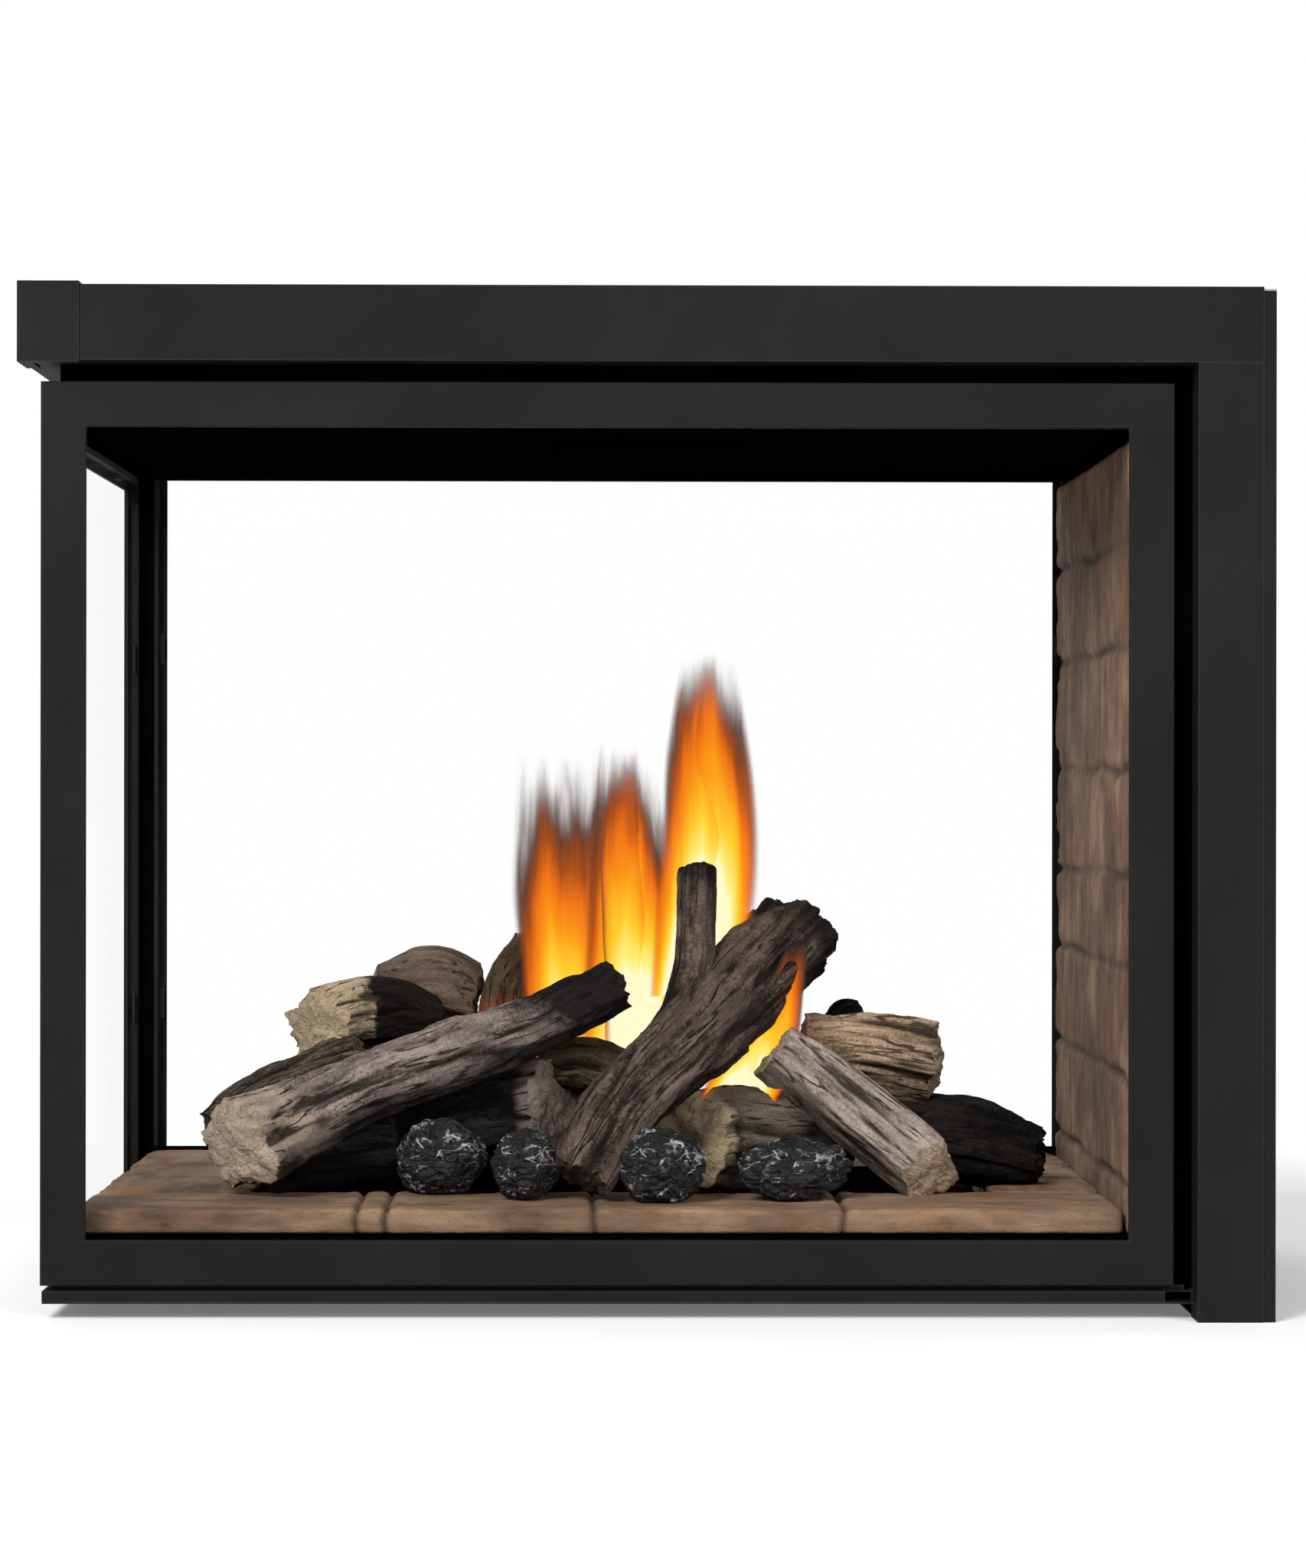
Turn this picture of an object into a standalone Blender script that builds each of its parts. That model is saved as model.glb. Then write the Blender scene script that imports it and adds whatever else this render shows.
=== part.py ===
"""Three-sided direct-vent gas fireplace, built as its separate sheet, brick, glass, gas and log pieces.

Metres, +Z up. The origin is the middle of the footprint, at floor level. X runs along the long front,
with the closed brick end at +X, and the front glass faces -Y.
"""
import math

import bmesh
import bpy
from mathutils import Matrix, Vector

# Case: what the finished unit measures from outside
CASE_WIDTH = 1.107
CASE_DEPTH = 0.610
CASE_HEIGHT = 0.910
SHEET = 0.0015
SEAT = 0.0003
OVERRUN = 0.020

# Header and the covers on its two open corners
HEADER_HEIGHT = 0.0665
HEADER_TOP_FLANGE = 0.030
COVER_WIDTH = 0.054
COVER_LIFT = 0.0012
COVER_FLANGE = 0.012

# Corner posts of the closed end
POST_WIDTH = 0.0687
EDGE_BAND = 0.011
POST_RETURN = 0.018
POST_SCREW_RADIUS = 0.0036
POST_SCREW_HEIGHT = 0.0012

# Glass doors
DOOR_SETBACK = 0.018
DOOR_POST_GAP = 0.0187
DOOR_BOTTOM = 0.030
DOOR_HEADER_GAP = 0.0169
DOOR_THICKNESS = 0.020
DOOR_RAIL = 0.040
END_DOOR_THICKNESS = 0.014
END_TOP_RAIL = 0.054
END_STILE = 0.018
FRAME_EDGE = 0.0015
GLASS_LIP = 0.004
GLASS_REBATE = 0.008
GLASS_THICKNESS = 0.005
CLIP_LENGTH = 0.030
CLIP_REACH = 0.006
CATCH_WIDTH = 0.024
CATCH_REACH = 0.008
CATCH_CLEARANCE = 0.0006

# Base pan under the doors
PAN_BOTTOM = 0.014
PAN_SETBACK = 0.0015
STRIP_HEIGHT = 0.011
SHELF_DEPTH = 0.008
STRIP_END_GAP = 0.026
SKID_WIDTH = 0.036
SKID_WALL = 0.003
SKID_SPREAD = 0.240
SKID_INSET = 0.034

# Firebox
FLOOR_TOP = 0.070
CEILING_RISE = 0.0134
BRICK_PANEL_THICKNESS = 0.030
BRICK_PANEL_DROP = 0.0076
REAR_LIP_TOP = 0.098
CORNER_ANGLE = 0.014
JOINT_WIDTH = 0.007
JOINT_DEPTH = 0.004

# Hearth bricks and the burner bed between them
HEARTH_TOP = 0.096
HEARTH_FRONT_GAP = 0.0117
HEARTH_LEFT_GAP = 0.010
HEARTH_FRONT_DEPTH = 0.140
HEARTH_LEFT_WIDTH = 0.145
HEARTH_RIGHT_WIDTH = 0.104
HEARTH_REAR_DEPTH = 0.170
HEARTH_ROUND = 0.008
BURNER_HEIGHT = 0.026
BURNER_GAP = 0.004
PILOT_BAY = 0.050

# Vent collars and relief flaps
INTAKE_RADIUS = 0.089
EXHAUST_RADIUS = 0.051
COLLAR_WALL = 0.002
COLLAR_RISE = 0.025
EXHAUST_RISE = 0.027
COLLAR_FLANGE = 0.015
FLAP_LENGTH = 0.140
FLAP_DEPTH = 0.085
FLAP_MARGIN = 0.010
FLAP_HINGE_RADIUS = 0.0032
FLAP_PIN_RADIUS = 0.0015
FLAP_PIN_CLEARANCE = 0.0002
FLAP_EAR = 0.003
FLAP_SPREAD = 0.540
BAFFLE_WIDTH = 0.180
BAFFLE_DEPTH = 0.120
BAFFLE_DROP = 0.0167

# Gas train in the closed end
VALVE_LENGTH = 0.090
VALVE_HEIGHT = 0.065
VALVE_DEPTH = 0.050
VALVE_HEIGHT_ABOVE_FLOOR = 0.155
KNOB_RADIUS = 0.013
KNOB_HEIGHT = 0.016
KNOB_SPACING = 0.044
PIPE_RADIUS = 0.006
PIPE_BEND = 0.018
PILOT_TUBE_RADIUS = 0.0025
PILOT_TUBE_BEND = 0.010
PIPE_LEVEL = 0.043
BURNER_LINE = -0.020
PILOT_LINE = 0.020
SHUTOFF_LENGTH = 0.050
SHUTOFF_RADIUS = 0.013
INLET_RUN = 0.045
VALVE_BOSS = 0.010
VALVE_BOSS_RADIUS = 0.010
VALVE_EDGE = 0.003
STEM_RADIUS = 0.004
STEM_LENGTH = 0.006
LEVER_LENGTH = 0.052
LEVER_WIDTH = 0.012
LEVER_THICKNESS = 0.003
VENTURI_RADIUS = 0.018
VENTURI_WALL = 0.002
VENTURI_LENGTH = 0.300
SHUTTER_LENGTH = 0.030
SHUTTER_WALL = 0.002
ORIFICE_LENGTH = 0.014
ORIFICE_RADIUS = 0.009
ORIFICE_STANDOFF = 0.008
ACCESS_WIDTH = 0.240
ACCESS_HEIGHT = 0.240
ACCESS_SILL = 0.050
ACCESS_LAP = 0.012

# Burner, its air shutter and the pilot hood with its probes
PORT_COLUMNS = 14
PORT_ROW_SHARES = (0.2, 0.4, 0.6, 0.8)
PORT_WIDTH = 0.002
PORT_LENGTH = 0.012
PORT_DEPTH = 0.003
THROAT_DEPTH = 0.012
WINDOW_LENGTH = 0.014
WINDOW_WIDTH = 0.014
SHUTTER_TAB = 0.005
TAB_WIDTH = 0.008
HOOD_RADIUS = 0.006
HOOD_TOP = 0.108
SENSOR_RADIUS = 0.0025
SENSOR_TOP = 0.112
SENSOR_OFFSET = 0.014
ARM_LEVEL = 0.088
ARM_HALF = 0.006
FOOT_HALF = 0.012

# Log set
LOG_SET_HEIGHT = 0.3453
LOG_GIRTH = 0.040
LUMP_GIRTH = 0.040
LOG_SIDES = 14

# Places worked out from the sizes above
LEFT = -CASE_WIDTH / 2
RIGHT = CASE_WIDTH / 2
FRONT = -CASE_DEPTH / 2
STEP = SHEET + SEAT
FACE = FRONT + STEP
RIGHT_FACE = RIGHT - STEP
LEFT_FACE = LEFT + STEP
HEADER_BOTTOM = CASE_HEIGHT - HEADER_HEIGHT
TOP_PLATE_TOP = CASE_HEIGHT - SHEET - SEAT
TOP_PLATE_BOTTOM = TOP_PLATE_TOP - SHEET
POST_LEFT = RIGHT_FACE - POST_WIDTH
POST_RIGHT = RIGHT_FACE - EDGE_BAND - SEAT
DOOR_FACE = FRONT + DOOR_SETBACK
DOOR_LEFT = LEFT + DOOR_SETBACK
DOOR_WIDTH = POST_LEFT - DOOR_POST_GAP - DOOR_LEFT
DOOR_TOP = HEADER_BOTTOM - DOOR_HEADER_GAP
DOOR_HEIGHT = DOOR_TOP - DOOR_BOTTOM
OPENING_BOTTOM = DOOR_BOTTOM + DOOR_RAIL
OPENING_TOP = DOOR_TOP - DOOR_RAIL
WALL_FRONT = DOOR_FACE + DOOR_THICKNESS + SEAT
WALL_LEFT = DOOR_LEFT + END_DOOR_THICKNESS + SEAT
BRICK_FACE = DOOR_LEFT + DOOR_WIDTH - DOOR_RAIL
WALL_RIGHT = BRICK_FACE + BRICK_PANEL_THICKNESS + SEAT
TRAY_RIGHT = WALL_RIGHT - SEAT
INNER_FRONT = WALL_FRONT + SHEET
PAN_FACE = DOOR_FACE + PAN_SETBACK
PAN_LEFT = DOOR_LEFT + PAN_SETBACK
PAN_RIGHT = POST_LEFT - SEAT
PAN_TOP = PAN_BOTTOM + SHEET
STRIP_TOP = PAN_BOTTOM + STRIP_HEIGHT
BED_FRONT = WALL_FRONT + HEARTH_FRONT_GAP
BED_REAR = -INNER_FRONT - SEAT
BED_LEFT = WALL_LEFT + HEARTH_LEFT_GAP
BED_WIDTH = BRICK_FACE - BED_LEFT
BED_DEPTH = BED_REAR - BED_FRONT
BURNER_LEFT = BED_LEFT + HEARTH_LEFT_WIDTH + BURNER_GAP
BURNER_RIGHT = BRICK_FACE - SEAT - HEARTH_RIGHT_WIDTH - PILOT_BAY
BURNER_FRONT = BED_FRONT + HEARTH_FRONT_DEPTH + BURNER_GAP
BURNER_REAR = BED_REAR - HEARTH_REAR_DEPTH - BURNER_GAP
FLOOR_SEAT = FLOOR_TOP + SEAT
CEILING_BOTTOM = OPENING_TOP + CEILING_RISE
CEILING_TOP = CEILING_BOTTOM + SHEET
BRICK_PANEL_TOP = OPENING_TOP - BRICK_PANEL_DROP
WALL_OUTSIDE = WALL_RIGHT + SHEET
VALVE_LEFT = WALL_OUTSIDE + SEAT
VALVE_MIDDLE = VALVE_LEFT + VALVE_DEPTH / 2
VALVE_FACE = VALVE_LEFT + VALVE_DEPTH
VALVE_BOTTOM = VALVE_HEIGHT_ABOVE_FLOOR - VALVE_HEIGHT / 2
VENTURI_MOUTH = BURNER_RIGHT + PILOT_BAY
VENTURI_END = VENTURI_MOUTH - VENTURI_LENGTH
PILOT_PLACE = BURNER_RIGHT + PILOT_BAY / 2
HINGE_LINE = FLAP_DEPTH / 2
HINGE_LEVEL = CEILING_TOP + SEAT + FLAP_HINGE_RADIUS
CATCH_LEVEL = DOOR_TOP + CATCH_CLEARANCE
SHUTOFF_START = VALVE_LENGTH / 2 + VALVE_BOSS + SEAT
LEVER_LINE = SHUTOFF_START + SHUTOFF_LENGTH / 2
INLET_LINE = SHUTOFF_START + SHUTOFF_LENGTH + SEAT + INLET_RUN


# Everything in the file before the model is built
for old in list(bpy.data.objects):
    bpy.data.objects.remove(old, do_unlink=True)

LOOKS = {
    "charcoal sheet": ((0.022, 0.023, 0.024), 0.55, 0.0),
    "black sheet": ((0.004, 0.004, 0.004), 0.7, 0.0),
    "galvanised sheet": ((0.42, 0.43, 0.44), 0.42, 0.9),
    "fire brick": ((0.16, 0.115, 0.085), 0.95, 0.0),
    "glass": ((0.85, 0.88, 0.88), 0.05, 0.0),
    "burner steel": ((0.05, 0.048, 0.046), 0.6, 0.6),
    "brass": ((0.55, 0.38, 0.14), 0.35, 1.0),
    "valve body": ((0.34, 0.35, 0.36), 0.5, 0.8),
    "knob plastic": ((0.012, 0.012, 0.012), 0.45, 0.0),
    "lever red": ((0.32, 0.015, 0.01), 0.4, 0.0),
    "ceramic white": ((0.72, 0.7, 0.64), 0.35, 0.0),
    "bark": ((0.13, 0.09, 0.065), 0.95, 0.0),
    "charred bark": ((0.018, 0.016, 0.015), 0.95, 0.0),
    "split wood": ((0.3, 0.21, 0.13), 0.95, 0.0),
}


def look(name):
    """One Principled material for each finish: colour, roughness and metallic value."""
    material = bpy.data.materials.get(name)
    if material is None:
        colour, roughness, metallic = LOOKS[name]
        material = bpy.data.materials.new(name)
        material.use_nodes = True
        shader = material.node_tree.nodes["Principled BSDF"]
        shader.inputs["Base Color"].default_value = (*colour, 1.0)
        shader.inputs["Roughness"].default_value = roughness
        shader.inputs["Metallic"].default_value = metallic
    return material


def piece(name, form, finish, smooth_angle=None):
    """Turns a bmesh into a named object with outward faces, one material and its shading."""
    bmesh.ops.remove_doubles(form, verts=form.verts, dist=SEAT / 30)
    bmesh.ops.recalc_face_normals(form, faces=form.faces)
    mesh = bpy.data.meshes.new(name)
    form.to_mesh(mesh)
    form.free()
    if smooth_angle is not None:
        mesh.shade_smooth()
        mesh.set_sharp_from_angle(angle=math.radians(smooth_angle))
    mesh.materials.append(look(finish))
    obj = bpy.data.objects.new(name, mesh)
    bpy.context.scene.collection.objects.link(obj)
    return obj


def box(form, low, high):
    """A block between two corners."""
    low, high = Vector(low), Vector(high)
    size = high - low
    matrix = Matrix.Translation((low + high) / 2) @ Matrix.Diagonal((*size, 1.0))
    bmesh.ops.create_cube(form, size=1.0, matrix=matrix)


def block(name, low, high, finish):
    form = bmesh.new()
    box(form, low, high)
    return piece(name, form, finish)


def extruded(name, outline, axis, start, end, finish, smooth_angle=None):
    """An outline in the two other axes (in X, Y, Z order), pulled along one axis."""
    form = bmesh.new()
    corners = []
    for first, second in outline:
        place = [first, second]
        place.insert("XYZ".index(axis), start)
        corners.append(form.verts.new(place))
    face = form.faces.new(corners)
    pulled = bmesh.ops.extrude_face_region(form, geom=[face])
    shift = Vector([end - start if letter == axis else 0.0 for letter in "XYZ"])
    moved = [v for v in pulled["geom"] if isinstance(v, bmesh.types.BMVert)]
    bmesh.ops.translate(form, verts=moved, vec=shift)
    return piece(name, form, finish, smooth_angle)


def stacked(name, loops, finish, closed=False):
    """Folded sheet from rectangular loops (left, right, front, rear, height): a capped tray, or a
    closed frame where the last loop joins the first."""
    form = bmesh.new()
    rings = []
    for left, right, front, rear, height in loops:
        corners = ((left, front), (right, front), (right, rear), (left, rear))
        rings.append([form.verts.new((x, y, height)) for x, y in corners])
    pairs = list(zip(rings, rings[1:]))
    if closed:
        pairs.append((rings[-1], rings[0]))
    else:
        form.faces.new(rings[0])
        form.faces.new(rings[-1])
    for lower, upper in pairs:
        for i in range(4):
            j = (i + 1) % 4
            form.faces.new((lower[i], lower[j], upper[j], upper[i]))
    return piece(name, form, finish)


def turned(name, profile, centre, axis, finish, steps=48, closed=True, smooth_angle=35):
    """A profile of (radius, distance along the axis) spun once round the axis through centre."""
    form = bmesh.new()
    verts = [form.verts.new((radius, 0.0, along)) for radius, along in profile]
    pairs = list(zip(verts, verts[1:]))
    if closed:
        pairs.append((verts[-1], verts[0]))
    edges = [form.edges.new(pair) for pair in pairs]
    bmesh.ops.spin(form, geom=verts + edges, cent=(0, 0, 0), axis=(0, 0, 1), angle=2 * math.pi,
                   steps=steps, use_duplicate=False)
    turn = {"X": Matrix.Rotation(math.pi / 2, 4, "Y"), "Y": Matrix.Rotation(-math.pi / 2, 4, "X"),
            "Z": Matrix.Identity(4)}[axis]
    bmesh.ops.transform(form, matrix=Matrix.Translation(centre) @ turn, verts=form.verts)
    return piece(name, form, finish, smooth_angle)


def rod(name, centre, axis, radius, length, finish, steps=24):
    """A plain round bar that starts at centre and runs along the axis."""
    profile = ((0.0, 0.0), (radius, 0.0), (radius, length), (0.0, length))
    return turned(name, profile, centre, axis, finish, steps, closed=False)


def settled(obj):
    """Applies the modifiers of an object, so that its mesh holds the finished form."""
    evaluated = obj.evaluated_get(bpy.context.evaluated_depsgraph_get())
    mesh = bpy.data.meshes.new_from_object(evaluated)
    old = obj.data
    obj.modifiers.clear()
    obj.data = mesh
    bpy.data.meshes.remove(old)


def joined(obj, tools, operation):
    """One Boolean for each tool, after which the tools are gone."""
    for tool in tools:
        tool.hide_render = True
        tool.display_type = "WIRE"
        change = obj.modifiers.new(operation.title(), "BOOLEAN")
        change.operation = operation
        change.solver = "EXACT"
        change.object = tool
        settled(obj)
        bpy.data.objects.remove(tool, do_unlink=True)
    return obj


def cut(obj, *tools):
    return joined(obj, tools, "DIFFERENCE")


def fused(obj, *tools):
    return joined(obj, tools, "UNION")


def pivoted(obj, origin):
    """Moves the object's origin to its joint and leaves its shape where it was."""
    obj.data.transform(Matrix.Translation(-Vector(origin)))
    obj.location = origin
    return obj


def swept(name, path, radius, finish, bore=0.0, sides=16):
    """A round bar along a path, or a tube where a bore is given, with its ends cut square."""
    points = [Vector(point) for point in path]
    form = bmesh.new()
    side = None
    rings = []
    for i, point in enumerate(points):
        ahead = (points[min(i + 1, len(points) - 1)] - points[max(i - 1, 0)]).normalized()
        if side is None:
            side = ahead.orthogonal().normalized()
        side = (side - ahead * side.dot(ahead)).normalized()
        other = ahead.cross(side)
        radii = (radius, bore) if bore else (radius,)
        pair = []
        for reach in radii:
            turns = [2 * math.pi * k / sides for k in range(sides)]
            places = [point + (side * math.cos(a) + other * math.sin(a)) * reach for a in turns]
            pair.append([form.verts.new(place) for place in places])
        rings.append(pair)
    walls = [[pair[0] for pair in rings]]
    if bore:
        walls.append([pair[1] for pair in rings])
    for wall in walls:
        for first, second in zip(wall, wall[1:]):
            for k in range(sides):
                form.faces.new((first[k], first[k - 1], second[k - 1], second[k]))
    for end in (rings[0], rings[-1]):
        if bore:
            for k in range(sides):
                form.faces.new((end[0][k], end[0][k - 1], end[1][k - 1], end[1][k]))
        else:
            form.faces.new(end[0])
    return piece(name, form, finish, 40)


def bent(corners, bend, steps=6):
    """A path through corner points, each inner corner rounded to an arc of the bend radius."""
    points = [Vector(corner) for corner in corners]
    path = [points[0]]
    for before, corner, after in zip(points, points[1:], points[2:]):
        inward = (before - corner).normalized()
        onward = (after - corner).normalized()
        centre = corner + (inward + onward) * bend
        for k in range(steps + 1):
            angle = math.pi / 2 * k / steps
            path.append(centre - onward * bend * math.cos(angle) - inward * bend * math.sin(angle))
    path.append(points[-1])
    return path


def mirrored(outline, side):
    """The outline as drawn for the front (-1), or turned over for the rear (+1)."""
    return [(first, -side * second) for first, second in outline]


# Case of charcoal sheet
def header_long(name, side):
    inner = WALL_FRONT - SEAT
    outline = [(FACE, HEADER_BOTTOM), (inner, HEADER_BOTTOM), (inner, HEADER_BOTTOM + SHEET),
               (FACE + SHEET, HEADER_BOTTOM + SHEET), (FACE + SHEET, CASE_HEIGHT - SHEET),
               (FACE + HEADER_TOP_FLANGE, CASE_HEIGHT - SHEET), (FACE + HEADER_TOP_FLANGE, CASE_HEIGHT),
               (FACE, CASE_HEIGHT)]
    outline = [(-side * depth, height) for depth, height in outline]
    return extruded(name, outline, "X", LEFT_FACE, POST_RIGHT, "charcoal sheet")


def header_end():
    inner = WALL_LEFT - SEAT
    outline = [(LEFT_FACE, HEADER_BOTTOM), (inner, HEADER_BOTTOM), (inner, HEADER_BOTTOM + SHEET),
               (LEFT_FACE + SHEET, HEADER_BOTTOM + SHEET), (LEFT_FACE + SHEET, CASE_HEIGHT - SHEET),
               (LEFT_FACE + HEADER_TOP_FLANGE, CASE_HEIGHT - SHEET),
               (LEFT_FACE + HEADER_TOP_FLANGE, CASE_HEIGHT), (LEFT_FACE, CASE_HEIGHT)]
    start = FACE + HEADER_TOP_FLANGE + SEAT
    form = extruded("header_left", outline, "Y", start, -start, "charcoal sheet")
    for side in (-1, 1):
        ends = sorted((-side * (start - OVERRUN), -side * WALL_FRONT))
        cut(form, block("notch", (LEFT_FACE - OVERRUN, ends[0], HEADER_BOTTOM - OVERRUN),
                        (inner + OVERRUN, ends[1], HEADER_BOTTOM + SHEET + SEAT), "charcoal sheet"))
    return form


def corner_cover(name, side):
    low = HEADER_BOTTOM - SEAT - SHEET
    top = CASE_HEIGHT + COVER_LIFT + SHEET
    outline = [(LEFT, FRONT), (LEFT + COVER_WIDTH, FRONT), (LEFT + COVER_WIDTH, FRONT + SHEET),
               (LEFT + SHEET, FRONT + SHEET), (LEFT + SHEET, FRONT + COVER_WIDTH), (LEFT, FRONT + COVER_WIDTH)]
    cover = extruded(name, mirrored(outline, side), "Z", low, top, "charcoal sheet")

    def plate(right, rear, bottom, height):
        ends = sorted((-side * FRONT, -side * rear))
        return block("plate", (LEFT, ends[0], bottom), (right, ends[1], height), "charcoal sheet")

    lid = plate(LEFT + COVER_WIDTH, FRONT + COVER_WIDTH, top - SHEET, top)
    front_lip = plate(LEFT + COVER_WIDTH, FRONT + COVER_FLANGE, low, low + SHEET)
    end_lip = plate(LEFT + COVER_FLANGE, FRONT + COVER_WIDTH, low, low + SHEET)
    return fused(cover, lid, front_lip, end_lip)


def post(name, side):
    outline = [(POST_LEFT, FACE), (POST_RIGHT, FACE), (POST_RIGHT, FACE + POST_RETURN),
               (POST_RIGHT - SHEET, FACE + POST_RETURN), (POST_RIGHT - SHEET, FACE + SHEET),
               (POST_LEFT + SHEET, FACE + SHEET), (POST_LEFT + SHEET, INNER_FRONT), (POST_LEFT, INNER_FRONT)]
    sheet = extruded(name, mirrored(outline, side), "Z", 0, HEADER_BOTTOM - SEAT, "charcoal sheet")
    reach = POST_SCREW_HEIGHT + SHEET / 2
    start = -side * (FACE + SHEET / 2)
    middle = (POST_LEFT + POST_SCREW_RADIUS + SEAT, start, POST_SCREW_RADIUS + STEP)
    profile = [(0, 0), (POST_SCREW_RADIUS, 0), (POST_SCREW_RADIUS, side * (reach - STEP / 2)),
               (POST_SCREW_RADIUS - STEP / 2, side * reach), (0, side * reach)]
    head = turned("screw", profile, middle, "Y", "charcoal sheet", 16, closed=False)
    return fused(sheet, head)


def side_panel():
    flange_front = FACE + STEP
    flange_left = POST_RIGHT + SEAT
    outline = [(flange_left, flange_front), (RIGHT_FACE, flange_front), (RIGHT_FACE, -flange_front),
               (flange_left, -flange_front), (flange_left, -flange_front - SHEET),
               (RIGHT_FACE - SHEET, -flange_front - SHEET), (RIGHT_FACE - SHEET, flange_front + SHEET),
               (flange_left, flange_front + SHEET)]
    top = TOP_PLATE_BOTTOM - SEAT
    panel = extruded("side_panel_right", outline, "Z", 0, top, "charcoal sheet")
    inside = FACE + POST_RETURN + SEAT
    foot = block("foot", (POST_LEFT + STEP, inside, 0), (RIGHT_FACE - SHEET / 2, -inside, SHEET),
                 "charcoal sheet")
    shelf = block("shelf", (RIGHT_FACE - POST_RETURN, inside, top - SHEET),
                  (RIGHT_FACE - SHEET / 2, -inside, top), "charcoal sheet")
    fused(panel, foot, shelf)
    door = block("door", (RIGHT_FACE - OVERRUN, -ACCESS_WIDTH / 2, ACCESS_SILL),
                 (RIGHT_FACE + OVERRUN, ACCESS_WIDTH / 2, ACCESS_SILL + ACCESS_HEIGHT), "charcoal sheet")
    gas_hole = rod("gas_hole", (RIGHT_FACE - OVERRUN, INLET_LINE, VALVE_HEIGHT_ABOVE_FLOOR), "X",
                   PIPE_RADIUS + STEP, 2 * OVERRUN, "charcoal sheet")
    return cut(panel, door, gas_hole)


def access_cover():
    half = ACCESS_WIDTH / 2 + ACCESS_LAP
    return block("access_cover", (RIGHT_FACE + SEAT, -half, ACCESS_SILL - ACCESS_LAP),
                 (RIGHT, half, ACCESS_SILL + ACCESS_HEIGHT + ACCESS_LAP), "charcoal sheet")


def top_plate():
    rear = -(FACE + STEP)
    plate = block("top_plate", (LEFT_FACE + STEP, -rear, TOP_PLATE_BOTTOM), (RIGHT_FACE, rear, TOP_PLATE_TOP),
                  "galvanised sheet")
    hole = rod("hole", (0, 0, TOP_PLATE_BOTTOM - OVERRUN), "Z", INTAKE_RADIUS - COLLAR_WALL, 2 * OVERRUN,
               "galvanised sheet", 48)
    return cut(plate, hole)


def pan_loop(inset, height):
    """A rectangular loop of the base pan, inset from the strip's face."""
    return (PAN_LEFT + inset, PAN_RIGHT - inset, PAN_FACE + inset, -PAN_FACE - inset, height)


def base_pan():
    pan = block("base_pan", (PAN_LEFT, PAN_FACE, PAN_BOTTOM), (PAN_RIGHT, -PAN_FACE, PAN_TOP),
                "charcoal sheet")
    for side in (-1, 1):
        middle = side * SKID_SPREAD / 2
        skid = block("skid", (PAN_LEFT + SKID_INSET, middle - SKID_WIDTH / 2, 0),
                     (PAN_RIGHT - SKID_INSET, middle + SKID_WIDTH / 2, PAN_BOTTOM + SHEET / 2),
                     "charcoal sheet")
        inner = SKID_WIDTH / 2 - SKID_WALL
        channel = block("channel", (PAN_LEFT, middle - inner, -OVERRUN),
                        (PAN_RIGHT, middle + inner, PAN_BOTTOM - SKID_WALL), "charcoal sheet")
        fused(pan, cut(skid, channel))
    return pan


def door_sill():
    """The ledge round the foot of the doors: a wall, a shelf and the riser that the doors rest on."""
    shelf = SHELF_DEPTH
    foot = PAN_TOP + SEAT
    seat_top = DOOR_BOTTOM - SEAT
    under = STRIP_TOP - SHEET
    loops = [pan_loop(SHEET, foot), pan_loop(0, foot), pan_loop(0, STRIP_TOP), pan_loop(shelf, STRIP_TOP),
             pan_loop(shelf, seat_top), pan_loop(shelf + SHEET, seat_top), pan_loop(shelf + SHEET, under),
             pan_loop(SHEET, under)]
    sill = stacked("door_sill", loops, "charcoal sheet", closed=True)
    for side in (-1, 1):
        ends = sorted((side * (-PAN_FACE + OVERRUN), side * (-PAN_FACE - shelf - SHEET / 2)))
        cut(sill, block("notch", (PAN_RIGHT - STRIP_END_GAP, ends[0], PAN_TOP),
                        (PAN_RIGHT + OVERRUN, ends[1], DOOR_BOTTOM + OVERRUN), "charcoal sheet"))
    return sill


# Firebox
def firebox_floor():
    """The floor plate, with holes for the venturi's throat and the pilot's tube."""
    inset = SHEET + SEAT
    floor = block("firebox_floor", (WALL_LEFT + inset, WALL_FRONT + inset, FLOOR_TOP - SHEET),
                  (TRAY_RIGHT - inset, -WALL_FRONT - inset, FLOOR_TOP), "black sheet")
    under = FLOOR_TOP - OVERRUN
    throat = rod("throat", (VENTURI_END, BURNER_LINE, under), "Z", VENTURI_RADIUS + STEP, 2 * OVERRUN,
                 "black sheet")
    pilot = rod("pilot", (PILOT_PLACE, PILOT_LINE, under), "Z", PILOT_TUBE_RADIUS + SEAT, 2 * OVERRUN,
                "black sheet")
    return cut(floor, throat, pilot)


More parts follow.
